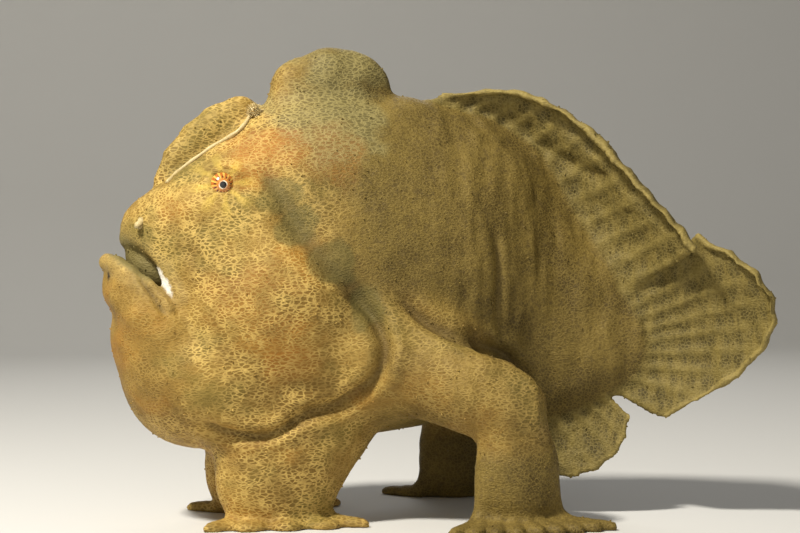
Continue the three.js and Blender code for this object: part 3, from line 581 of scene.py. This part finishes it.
# %% [markdown]
# ## Eyes
# The eye is a ball sunk in a soft ring of lid. Its colours are rings about the pupil, so each vertex
# carries one number, the angle from the middle of the pupil, and a second for the way round. The lid is a
# ring that was melted into the skin's field above, so it needs no piece of its own.

# %% Eye balls


def ball(name, centre, radius, way, rings=48, spans=64):
    turns = np.arange(spans) / spans * 2 * math.pi
    a, b = np.meshgrid(np.linspace(0, math.pi, rings + 1)[1:-1], turns, indexing="ij")
    local = np.stack([np.sin(a) * np.cos(b), way * np.cos(a), np.sin(a) * np.sin(b)], -1).reshape(-1, 3)
    local = np.concatenate([local, [[0, way, 0]], [[0, -way, 0]]])
    bm = bmesh.new()
    verts = [bm.verts.new((Vector(centre + radius * v) + SHIFT) * MM) for v in local]
    inner = rings - 1
    for i in range(inner - 1):
        one, two = i * spans, (i + 1) * spans
        for j in range(spans):
            k = (j + 1) % spans
            bm.faces.new([verts[one + j], verts[one + k], verts[two + k], verts[two + j]])
    for j in range(spans):
        k = (j + 1) % spans
        bm.faces.new([verts[-2], verts[k], verts[j]])
        bm.faces.new([verts[-1], verts[(inner - 1) * spans + j], verts[(inner - 1) * spans + k]])
    obj = smooth_object(name, bm)
    paint_number(obj, "off", np.append(a.ravel(), [0, math.pi]))
    paint_number(obj, "round", np.append(b.ravel(), [0, 0]))
    return obj


eyes = {}
for side, way in (("left", -1), ("right", 1)):
    eyes[side] = ball("eye_ball_" + side, np.array([EYE_AT[0], way * eye_side, EYE_AT[1]]), EYE_RADIUS, way)
print("eyes at", round(eye_side, 1), "mm from the middle")

# %% [markdown]
# ## The fishing rod
# The first spine is a rod that lies back over the second spine, with a pale tuft at its end. The rod is a
# tube along a smooth line; the tuft is a small egg whose filaments are strewn over it by Geometry Nodes
# below.

# %% Rod and the core of the tuft


def tube(name, line, radii, spans=16):
    line = np.asarray(line, float)
    radii = np.broadcast_to(radii, len(line))
    tangent = np.gradient(line, axis=0)
    tangent /= np.linalg.norm(tangent, axis=1, keepdims=True)
    side = np.cross(tangent, [0, 1, 0])
    side /= np.linalg.norm(side, axis=1, keepdims=True)
    up = np.cross(side, tangent)
    a = (np.arange(spans) / spans * 2 * math.pi)[None, :, None]
    ring = line[:, None] + radii[:, None, None] * (np.cos(a) * side[:, None] + np.sin(a) * up[:, None])
    bm = bmesh.new()
    verts = [[bm.verts.new((Vector(v) + SHIFT) * MM) for v in row] for row in ring]
    for one, two in zip(verts, verts[1:]):
        for j in range(spans):
            bm.faces.new([one[j], one[(j + 1) % spans], two[(j + 1) % spans], two[j]])
    bm.faces.new(verts[0])
    bm.faces.new(verts[-1])
    return smooth_object(name, bm)


ROD = [(-86, 138.8), (-80, 144.2), (-68, 153), (-57, 160), (-51, 167)]
rod_points = np.array([(x, -half_width(x, z) - 0.5, z) for x, z in ROD])
rod_line = through(rod_points, np.linspace(0, 1, 60))
swell = 0.85 + 0.12 * np.sin(np.linspace(0, 40, 60))
rod = tube("fishing_rod", rod_line, swell)
tuft_at = rod_points[-1] + np.array([1, -0.9, 1.2])
tuft = ball("tuft_core", np.zeros(3), 1.0, -1, 20, 28)
for v in tuft.data.vertices:
    local = np.array(v.co) / MM - np.array(SHIFT)
    v.co = (Vector(local * np.array([3.1, 2.3, 2.7]) * 0.82 + tuft_at) + SHIFT) * MM
print("rod is", round(float(np.linalg.norm(np.diff(rod_line, axis=0), axis=1).sum()), 1), "mm long")

# %% [markdown]
# ## Nostrils
# Each nostril opens in a short pale tube of skin above the lip. It is a tube that widens to its rim and is
# hollow there, made by turning the line back into itself.

# %% Nostril tubes
nostrils = {}
for side, way in (("left", -1), ("right", 1)):
    deep = half_width(-97, 122)
    start = np.array([-96.2, way * (deep - 1.2), 123.2])
    out_way = np.array([-0.50, way * 0.72, -0.48])
    reach_out = np.array([0, 1.2, 2.4, 3.4, 3.9, 3.3, 1.5])
    line = start + out_way / np.linalg.norm(out_way) * reach_out[:, None]
    line = line + np.linspace(0, 1, 7)[:, None] ** 2 * np.array([0, 0, -0.4])
    nostrils[side] = tube("nostril_" + side, line, np.array([1.9, 1.5, 1.45, 1.7, 1.45, 0.9, 0.5]), 20)
print("nostrils at", [round(float(v), 1) for v in start])

# %% [markdown]
# ## Things that repeat, with Geometry Nodes
# One small node tree strews a shape over a surface: points are dealt out with a fixed seed, a cone or a
# bead is set on each along the surface's own direction, the copies are made real and given a material. The
# named inputs of the tree are set on the modifier, so the same tree makes the filaments of the tuft and the
# warts of the skin.

# %% A tree that strews cones or beads


def node(tree, kind, place=(0, 0), **values):
    n = tree.nodes.new(kind)
    n.location = place
    for key, value in values.items():
        setattr(n, key, value)
    return n


strew_tree = bpy.data.node_groups.new("strew over a surface", "GeometryNodeTree")
face = strew_tree.interface
face.new_socket("Surface", in_out="INPUT", socket_type="NodeSocketGeometry")
face.new_socket("Result", in_out="OUTPUT", socket_type="NodeSocketGeometry")
sockets = {}
for label, kind, default in [("Per square metre", "Float", 1000.0), ("Width", "Float", 0.001),
                             ("Length", "Float", 0.002), ("Tip share", "Float", 0.3), ("Tilt", "Float", 0.3),
                             ("Smallest", "Float", 0.5), ("Sink", "Float", 0.0), ("Seed", "Int", 7),
                             ("Look", "Material", None)]:
    s = face.new_socket(label, in_out="INPUT", socket_type="NodeSocket" + kind)
    if default is not None:
        s.default_value = default
    sockets[label] = s.identifier
t = strew_tree
gi, go = node(t, "NodeGroupInput", (-900, 0)), node(t, "NodeGroupOutput", (900, 0))
deal = node(t, "GeometryNodeDistributePointsOnFaces", (-650, 100))
cone = node(t, "GeometryNodeMeshCone", (-650, -250), fill_type="NGON")
cone.inputs["Vertices"].default_value = 7
cone.inputs["Side Segments"].default_value = 3
thin = node(t, "ShaderNodeMath", (-820, -300), operation="MULTIPLY")
lower = node(t, "GeometryNodeTransform", (-450, -250))
down = node(t, "ShaderNodeCombineXYZ", (-640, -480))
place = node(t, "GeometryNodeInstanceOnPoints", (-100, 0))
tilt = node(t, "FunctionNodeRandomValue", (-400, -420), data_type="FLOAT_VECTOR")
tilt_up, tilt_low = node(t, "ShaderNodeCombineXYZ", (-740, -600)), node(t, "ShaderNodeCombineXYZ", (-740, -760))
minus = node(t, "ShaderNodeMath", (-900, -760), operation="MULTIPLY")
minus.inputs[1].default_value = -1.0
turn = node(t, "FunctionNodeRotateRotation", (-280, -150), rotation_space="LOCAL")
euler = node(t, "FunctionNodeEulerToRotation", (-300, -350))
size = node(t, "FunctionNodeRandomValue", (-320, -560), data_type="FLOAT")
real = node(t, "GeometryNodeRealizeInstances", (150, 0))
paint = node(t, "GeometryNodeSetMaterial", (420, 0))
size.inputs[3].default_value = 1.0
for source, out, target, into in [
    (gi, "Surface", deal, "Mesh"), (gi, "Per square metre", deal, "Density"), (gi, "Seed", deal, "Seed"),
    (gi, "Width", cone, "Radius Bottom"), (gi, "Width", thin, 0), (gi, "Tip share", thin, 1),
    (thin, 0, cone, "Radius Top"), (gi, "Length", cone, "Depth"), (cone, "Mesh", lower, "Geometry"),
    (gi, "Sink", down, "Z"), (down, 0, lower, "Translation"), (gi, "Tilt", tilt_up, "X"),
    (gi, "Tilt", tilt_up, "Y"), (gi, "Tilt", minus, 0), (minus, 0, tilt_low, "X"),
    (minus, 0, tilt_low, "Y"), (tilt_low, 0, tilt, 0), (tilt_up, 0, tilt, 1), (tilt, 0, euler, 0),
    (deal, "Rotation", turn, "Rotation"), (euler, 0, turn, "Rotate By"), (gi, "Smallest", size, 2),
    (deal, "Points", place, "Points"), (lower, "Geometry", place, "Instance"), (turn, 0, place, "Rotation"),
    (size, 1, place, "Scale"), (place, "Instances", real, "Geometry"),
    (real, "Geometry", paint, "Geometry"), (gi, "Look", paint, "Material"),
    (paint, "Geometry", go, "Result"),
]:
    t.links.new(source.outputs[out], target.inputs[into])


def strewn(name, surface, look, **values):
    """Runs the tree on a surface and keeps the outcome as a plain mesh object."""
    host = put_in_scene(name + "_host", surface.data.copy())
    mod = host.modifiers.new("strew", "NODES")
    mod.node_group = strew_tree
    for label, value in values.items():
        mod[sockets[label.replace("_", " ")]] = value
    mod[sockets["Look"]] = look
    bpy.context.view_layer.update()
    seen = host.evaluated_get(bpy.context.evaluated_depsgraph_get())
    mesh = bpy.data.meshes.new_from_object(seen)
    mesh.name = name
    bpy.data.objects.remove(host)
    return put_in_scene(name, mesh)


print("tree has", len(strew_tree.nodes), "nodes")

# %% [markdown]
# ## Materials
# All colours are mixed by procedural nodes in object space. The skin's net is a Voronoi pattern read as the
# distance to the nearest cell edge: close to an edge lies the yellow-tan line, and inside each cell the
# skin is olive brown. Regions such as the rusty cheek, the grey-green nape or the blade of a fin are soft
# shapes that are written on the vertices as numbers from 0 to 1, and the shader mixes by them.

# %% Region numbers on the skin


def blot(p, x, z, rx, rz, rough=0.35, seed=11):
    """A soft-edged region in the side view with an uneven border."""
    d = np.hypot((p[:, 0] - x) / rx, (p[:, 2] - z) / rz) + rough * noise(p, 9, seed)
    return 1 - ramp(d + 0.2 * noise(p, 4, seed + 1), 0.6, 1.15)


MOUTH_CORNER, LIP_SPOT, STAR_ARMS = (-87.6, 25, 85), (-109.5, -7, 101.1), 8
both = np.stack([P[:, 0], np.abs(P[:, 1]), P[:, 2]], 1)
head_share = 1 - ramp(P[:, 0] + 0.25 * (P[:, 2] - 100) + 5 * noise(P, 16, 20), -34, 0)
rust = np.max([0.8 * blot(P, -46, 152, 20, 12), 0.9 * blot(P, -52, 141, 10, 7, seed=13),
               0.45 * blot(P, -56, 92, 22, 17, seed=15), 0.6 * blot(P, -40, 66, 14, 8, seed=17),
               0.5 * blot(P, -84, 128, 8, 7, seed=19), 0.5 * blot(P, -22, 150, 12, 14, seed=21)], 0)
jaw = np.max([blot(P, -100, 85, 20, 26, seed=33), blot(P, -92, 62, 22, 20, seed=35)], 0)
white = np.maximum(1 - ramp(limb(*both.T, "membrane"), 0.15, 0.6),
                   1 - ramp(np.linalg.norm(both - np.array(MOUTH_CORNER), axis=1), 1.2, 2.6))
# Painted shade along the valley that runs down from behind the eye round the cheek, and in two small patches on
# the snout and over the eye.
valley_shade = np.max([0.8 * blot(P, -44, 134, 10, 8, seed=41), 0.9 * blot(P, -36, 120, 9, 10, seed=43),
                 0.9 * blot(P, -24, 106, 11, 10, seed=45), 0.8 * blot(P, -10, 88, 8, 14, seed=47),
                 0.6 * blot(P, -100, 118, 9, 7, seed=49), 0.5 * blot(P, -78, 148, 16, 10, seed=51)], 0)
spot = 1 - ramp(np.linalg.norm(P - np.array(LIP_SPOT), axis=1), 1.0, 2.2)
nape = np.max([blot(P, -22, 165, 26, 20, seed=23), blot(P, -12, 186, 24, 10, seed=25)], 0)
in_mouth = 1 - ramp(egg(*P.T, "gape"), -2.2, 0.2)
in_mouth = np.maximum(in_mouth, 1 - ramp(egg(*P.T, "mouth_room"), -2.5, 0.3))
lips = 1 - ramp(np.minimum(limb(*both.T, "upper_lip"), limb(*both.T, "lower_lip")), 0.2, 2.2)
shade = ramp(-move * still, 0.5, 2.4)
eye_way = np.arctan2(P[:, 2] - EYE_AT[1], P[:, 0] - EYE_AT[0])
star = ramp(np.sin(eye_way * STAR_ARMS + 0.6) + 0.5 * noise(P, 3, 31), -0.1, 0.8)
star = star * ramp(eye_gap, 3.5, 4.5) * (1 - ramp(eye_gap, 7.5, 15.5)) * (np.abs(P[:, 1]) > 12)
arm_share = 1 - ramp(limb(*both.T, "arm", 0.86), 2, 12)
for label, values in dict(head=head_share, rust=rust, nape=nape, mouth=in_mouth, lips=lips, shade=shade,
                          arm=arm_share, fin=on_fin, along=fin_along * on_fin, ray=fin_ray * on_fin, star=star,
                          jaw=jaw, white=white, valley_shade=valley_shade, spot=spot).items():
    paint_number(skin, label, values)
print("regions painted:", [a.name for a in skin.data.attributes if a.data_type == "FLOAT"])

# %% [markdown]
# ## Short names for shader nodes
# A shader with many layers stays readable when each kind of node has a small function: one mixes colours,
# one does sums, one turns a number into a soft step, and one reads a number painted on the vertices.

# %% Shader helpers


def material(name):
    mat = bpy.data.materials.new(name)
    mat.use_nodes = True
    return mat, mat.node_tree, mat.node_tree.nodes["Principled BSDF"]


def colour_mix(tree, factor, a, b):
    n = tree.nodes.new("ShaderNodeMix")
    n.data_type = "RGBA"
    for socket, value in ((n.inputs["Factor"], factor), (n.inputs["A"], a), (n.inputs["B"], b)):
        if isinstance(value, bpy.types.NodeSocket):
            tree.links.new(value, socket)
        elif isinstance(value, tuple):
            socket.default_value = (*value, 1.0)
        else:
            socket.default_value = value
    return n.outputs["Result"]


def math_node(tree, operation, a, b=0.0):
    n = tree.nodes.new("ShaderNodeMath")
    n.operation = operation
    for socket, value in ((n.inputs[0], a), (n.inputs[1], b)):
        if isinstance(value, bpy.types.NodeSocket):
            tree.links.new(value, socket)
        else:
            socket.default_value = value
    return n.outputs[0]


def times(tree, a, b):
    return math_node(tree, "MULTIPLY", a, b)


def spread(tree, value, start, end, low_to=0.0, high_to=1.0):
    n = tree.nodes.new("ShaderNodeMapRange")
    n.interpolation_type = "SMOOTHSTEP"
    tree.links.new(value, n.inputs["Value"])
    for label, number in (("From Min", start), ("From Max", end), ("To Min", low_to), ("To Max", high_to)):
        n.inputs[label].default_value = number
    return n.outputs["Result"]


def region(tree, label):
    n = tree.nodes.new("ShaderNodeAttribute")
    n.attribute_name = label
    return n.outputs["Fac"]


def place_node(tree, scale=(1, 1, 1)):
    c = tree.nodes.new("ShaderNodeTexCoord")
    m = tree.nodes.new("ShaderNodeMapping")
    m.inputs["Scale"].default_value = scale
    tree.links.new(c.outputs["Object"], m.inputs["Vector"])
    return m.outputs["Vector"]


def noise_node(tree, vector, scale, detail=3.0, rough=0.55, out="Fac"):
    n = tree.nodes.new("ShaderNodeTexNoise")
    n.inputs["Scale"].default_value = scale
    n.inputs["Detail"].default_value = detail
    n.inputs["Roughness"].default_value = rough
    tree.links.new(vector, n.inputs["Vector"])
    return n.outputs[out]


def cells(tree, vector, scale, feature="DISTANCE_TO_EDGE", out="Distance"):
    n = tree.nodes.new("ShaderNodeTexVoronoi")
    n.feature = feature
    n.inputs["Scale"].default_value = scale
    tree.links.new(vector, n.inputs["Vector"])
    return n.outputs[out]


def bent(tree, vector, scale, amount):
    """The place moved about by noise, so that cells are not too even."""
    n = noise_node(tree, vector, scale, 2.0, 0.5, "Color")
    centre = tree.nodes.new("ShaderNodeVectorMath")
    centre.operation = "SUBTRACT"
    centre.inputs[1].default_value = (0.5, 0.5, 0.5)
    tree.links.new(n, centre.inputs[0])
    small = tree.nodes.new("ShaderNodeVectorMath")
    small.operation = "SCALE"
    small.inputs["Scale"].default_value = amount
    tree.links.new(centre.outputs[0], small.inputs[0])
    both = tree.nodes.new("ShaderNodeVectorMath")
    tree.links.new(vector, both.inputs[0])
    tree.links.new(small.outputs[0], both.inputs[1])
    return both.outputs[0]


def bump(tree, shader, height, strength, distance):
    n = tree.nodes.new("ShaderNodeBump")
    n.inputs["Strength"].default_value = strength
    n.inputs["Distance"].default_value = distance
    tree.links.new(height, n.inputs["Height"])
    tree.links.new(n.outputs["Normal"], shader.inputs["Normal"])


print("helpers ready")

# %% [markdown]
# ## The skin from the ground up
# The skin is built in layers: a dark rear, darker partly by its own olive colour and partly as painted shade,
# a net-covered front, the fins' blades with a pale margin that is partly painted rim light, then nape, rust,
# lips, the yellow star about the eye, painted shade in the creases and along the valley behind the eye, and
# the mouth. Constants such as roughness sit on the shader itself. The eye's rings come from the angle off
# the pupil, and its ticks from the angle round it.

# %% Skin, lure and eye


def skin_look(name):
    mat, t, s = material(name)
    here = place_node(t)
    coarse = cells(t, bent(t, bent(t, place_node(t, (0.55, 0.85, 1.15)), 140, 0.0022), 700, 0.0008), 720)
    fine = cells(t, bent(t, here, 320, 0.0010), 700)
    broad = noise_node(t, place_node(t, (1, 1, 1.3)), 27, 3.0)
    worn = noise_node(t, here, 130, 3.0)
    grain = noise_node(t, here, 1500, 4.0)
    speck = noise_node(t, here, 420, 2.0)
    cloud = noise_node(t, here, 48, 4.0)
    streak = noise_node(t, place_node(t, (1, 1, 0.3)), 300, 3.0)
    head, fin = region(t, "head"), region(t, "fin")
    net_coarse = spread(t, coarse, 0.02, 0.24, 1.0, 0.0)
    net_fine = spread(t, fine, 0.02, 0.2, 1.0, 0.0)

    # The rear is darker than the front partly because its skin is a darker olive and partly as painted shade,
    # for the light falling off towards the tail.
    rear = colour_mix(t, spread(t, cloud, 0.3, 0.7), (0.080, 0.053, 0.012), (0.170, 0.116, 0.026))
    rear = colour_mix(t, times(t, net_fine, 0.35), rear, (0.30, 0.215, 0.055))
    rear = colour_mix(t, spread(t, speck, 0.52, 0.70, 0.0, 0.5), rear, (0.085, 0.058, 0.018))
    front = colour_mix(t, spread(t, cloud, 0.3, 0.7), (0.17, 0.098, 0.018), (0.30, 0.180, 0.036))
    front = colour_mix(t, spread(t, broad, 0.52, 0.68, 0.0, 0.6), front, (0.36, 0.165, 0.022))
    front = colour_mix(t, spread(t, broad, 0.50, 0.34, 0.0, 0.55), front, (0.145, 0.122, 0.025))
    shown = times(t, net_coarse, spread(t, worn, 0.35, 0.65, 0.25, 0.85))
    shown = times(t, shown, spread(t, region(t, "jaw"), 0.0, 1.0, 1.0, 0.35))
    front = colour_mix(t, shown, front, (0.60, 0.41, 0.115))
    limbs = times(t, region(t, "arm"), 0.45)
    base = colour_mix(t, math_node(t, "MAXIMUM", head, limbs), rear, front)
    blade = colour_mix(t, spread(t, streak, 0.35, 0.7), (0.068, 0.050, 0.012), (0.165, 0.120, 0.029))
    blade = colour_mix(t, times(t, net_fine, 0.3), blade, (0.36, 0.28, 0.09))
    blade = colour_mix(t, times(t, region(t, "ray"), 0.45), blade, (0.24, 0.18, 0.048))
    # Pale band along the fins' margins: partly the margins' paler skin, partly painted rim light.
    rim = spread(t, region(t, "along"), 0.94, 1.0, 0.0, 0.4)
    blade = colour_mix(t, rim, blade, (0.38, 0.29, 0.09))
    base = colour_mix(t, fin, base, blade)
    nape = colour_mix(t, net_coarse, (0.13, 0.115, 0.045), (0.33, 0.28, 0.11))
    base = colour_mix(t, times(t, region(t, "nape"), 0.6), base, nape)
    patch = times(t, region(t, "rust"), spread(t, net_coarse, 0.0, 0.9, 0.5, 0.22))
    base = colour_mix(t, patch, base, (0.40, 0.14, 0.018))
    for label, share, colour in (("lips", 0.3, (0.40, 0.29, 0.11)), ("star", 0.62, (0.62, 0.43, 0.08)),
                                 ("shade", 0.5, (0.07, 0.045, 0.015))):
        base = colour_mix(t, times(t, region(t, label), share), base, colour)
    # Painted shade: the skin is darkened along the valley by its painted numbers.
    dark = spread(t, region(t, "valley_shade"), 0.0, 1.0, 0.0, 0.6)
    base = colour_mix(t, dark, base, (0.105, 0.095, 0.028))
    for label, colour in (("mouth", (0.19, 0.15, 0.05)), ("white", (0.80, 0.76, 0.66)),
                          ("spot", (0.02, 0.015, 0.012))):
        base = colour_mix(t, region(t, label), base, colour)
    t.links.new(base, s.inputs["Base Color"])
    s.inputs["Roughness"].default_value = 0.6
    s.inputs["Specular IOR Level"].default_value = 0.2
    height = math_node(t, "ADD", times(t, net_coarse, 0.35), times(t, grain, 0.8))
    bump(t, s, height, 0.6, 0.0005)
    return mat


skin_mat = skin_look("frogfish skin")
skin.data.materials.append(skin_mat)

lure_mat, t2, s2 = material("pale lure")
rings = noise_node(t2, place_node(t2), 900, 2.0)
t2.links.new(colour_mix(t2, rings, (0.36, 0.25, 0.08), (0.66, 0.54, 0.28)), s2.inputs["Base Color"])
s2.inputs["Roughness"].default_value = 0.55
rod.data.materials.append(lure_mat)
for obj in nostrils.values():
    obj.data.materials.append(lure_mat)
tuft.data.materials.append(lure_mat)

eye_mat, t3, s3 = material("ringed eye")
off, around = region(t3, "off"), region(t3, "round")
spokes = noise_node(t3, place_node(t3), 1600, 2.0)
ways = math_node(t3, "SINE", times(t3, around, 14.0))
ray = spread(t3, math_node(t3, "ADD", ways, times(t3, spokes, 1.2)), 0.6, 1.3)
iris = colour_mix(t3, ray, (0.42, 0.13, 0.02), (0.72, 0.42, 0.08))
ticks = spread(t3, math_node(t3, "SINE", times(t3, around, 13.0)), 0.35, 0.75)
belt = times(t3, spread(t3, off, 0.50, 0.58), spread(t3, off, 0.78, 0.70))
iris = colour_mix(t3, times(t3, ticks, belt), iris, (0.07, 0.018, 0.008))
iris = colour_mix(t3, spread(t3, off, 0.42, 0.54), (0.60, 0.22, 0.04), iris)
bright = spread(t3, math_node(t3, "ADD", math_node(t3, "SINE", times(t3, around, 2.0)), spokes),
                0.2, 0.9, 0.35, 1.0)
iris = colour_mix(t3, times(t3, spread(t3, off, 0.36, 0.31), bright), iris, (0.85, 0.78, 0.58))
iris = colour_mix(t3, spread(t3, off, 0.24, 0.27), (0.008, 0.006, 0.006), iris)
t3.links.new(iris, s3.inputs["Base Color"])
s3.inputs["Roughness"].default_value = 0.22
s3.inputs["Coat Weight"].default_value = 0.15
for obj in eyes.values():
    obj.data.materials.append(eye_mat)

hairs = strewn("tuft_filaments", tuft, lure_mat, Per_square_metre=2.2e6, Width=0.0004, Length=0.0028,
               Tip_share=0.25, Tilt=0.6, Smallest=0.4, Sink=-0.0008, Seed=5)
warts = strewn("skin_warts", skin, skin_mat, Per_square_metre=12000.0, Width=0.0007, Length=0.0011,
               Tip_share=0.45, Tilt=0.25, Smallest=0.35, Sink=-0.0005, Seed=9)
for corner in warts.data.vertices:
    corner.co.z = max(corner.co.z, FLOOR_GAP * MM)
print("filament faces", len(hairs.data.polygons), "wart faces", len(warts.data.polygons))

# %% [markdown]
# ## Each piece takes its place
# The skin stands for all the flesh and fin solids at once, the rod and tuft for the lure, and the balls for
# the eyes.

# %% Tie the pieces to the frame
for piece in (skin, warts, rod, tuft, hairs, *nostrils.values(), *eyes.values()):
    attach(piece, "root")
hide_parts("head", "lower_jaw", "torso", "tail_stem", "arm_left", "arm_right", "pelvic_fin_left",
            "pelvic_fin_right", "pectoral_fin_left", "pectoral_fin_right", "second_dorsal_spine",
            "third_dorsal_spine", "dorsal_fin", "caudal_fin", "anal_fin")
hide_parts("illicium")
for side, obj in eyes.items():
    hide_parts("eye_" + side)
print("pieces tied")

# %% [markdown]
# ## Floor and backdrop
# The model stands on a pale plain floor that curves up behind it, so no line cuts through the picture. A
# staged object is shown in the render and is no piece of the model.

# %% Floor and backdrop
bm = bmesh.new()
profile = [(-4.0, 0.0), (1.1, 0.0)] + [(1.1 + 0.5 * math.sin(a), 0.5 - 0.5 * math.cos(a))
                                       for a in np.linspace(0.1, math.pi / 2, 12)] + [(1.6, 2.4)]
rows = [[bm.verts.new((x, y, z)) for y, z in profile] for x in (-4.0, 4.0)]
for i in range(len(profile) - 1):
    bm.faces.new([rows[0][i], rows[1][i], rows[1][i + 1], rows[0][i + 1]])
floor = smooth_object("floor", bm)
floor_mat, _, s4 = material("pale floor")
s4.inputs["Base Color"].default_value = (0.62, 0.61, 0.58, 1)
s4.inputs["Roughness"].default_value = 0.8
floor.data.materials.append(floor_mat)
print("floor and backdrop ready")

# %% [markdown]
# ## Three lamps
# The key lamp is small and stands high on the head's side, so that folds and rolled fin margins throw clear
# shade. The fill comes from beside the camera and the rim from behind.

# %% Lights


def lamp(name, place, aim, size, watts, colour=(1, 1, 1)):
    data = bpy.data.lights.new(name, "AREA")
    data.shape, data.size, data.energy, data.color = "DISK", size, watts, colour
    obj = put_in_scene(name, data)
    obj.location = place
    obj.rotation_euler = (Vector(aim) - Vector(place)).to_track_quat("-Z", "Y").to_euler()


AIM = (Vector((12.6, 0, 104.4)) + SHIFT) * MM
lamp("key", (-0.60, -0.40, 0.95), AIM, 0.15, 20, (1, 0.96, 0.88))
lamp("fill", (-0.1, -1.1, 0.25), AIM, 0.8, 2.0, (1, 0.98, 0.95))
lamp("rim", (0.2, 0.9, 0.8), AIM, 0.6, 2)
world = bpy.data.worlds.new("studio")
world.use_nodes = True
sky = world.node_tree.nodes["Background"]
sky.inputs["Color"].default_value = (0.6, 0.59, 0.57, 1)
sky.inputs["Strength"].default_value = 0.30
bpy.context.scene.world = world
bpy.context.scene.view_settings.view_transform = "Standard"
print("3 lamps and a weak sky")

# %% [markdown]
# ## The camera
# It stands 0.82 m away, 12 degrees towards the head and almost level, and frames about 336 mm at the fish.

# %% Camera
AZIMUTH, ELEVATION, DISTANCE, FRAMED = math.radians(-12), math.radians(1), 0.820, 0.336
level = math.cos(ELEVATION)
away = Vector((math.sin(AZIMUTH) * level, -math.cos(AZIMUTH) * level, math.sin(ELEVATION)))
lens = bpy.data.cameras.new("side_camera")
lens.sensor_width = 36
lens.lens = lens.sensor_width * DISTANCE / FRAMED
lens.clip_end = 50
camera = put_in_scene("side_camera", lens)
camera.location = AIM + away * DISTANCE
camera.rotation_euler = (-away).to_track_quat("-Z", "Y").to_euler()
bpy.context.scene.camera = camera
print("camera", [round(v, 3) for v in camera.location], "lens", round(lens.lens, 1))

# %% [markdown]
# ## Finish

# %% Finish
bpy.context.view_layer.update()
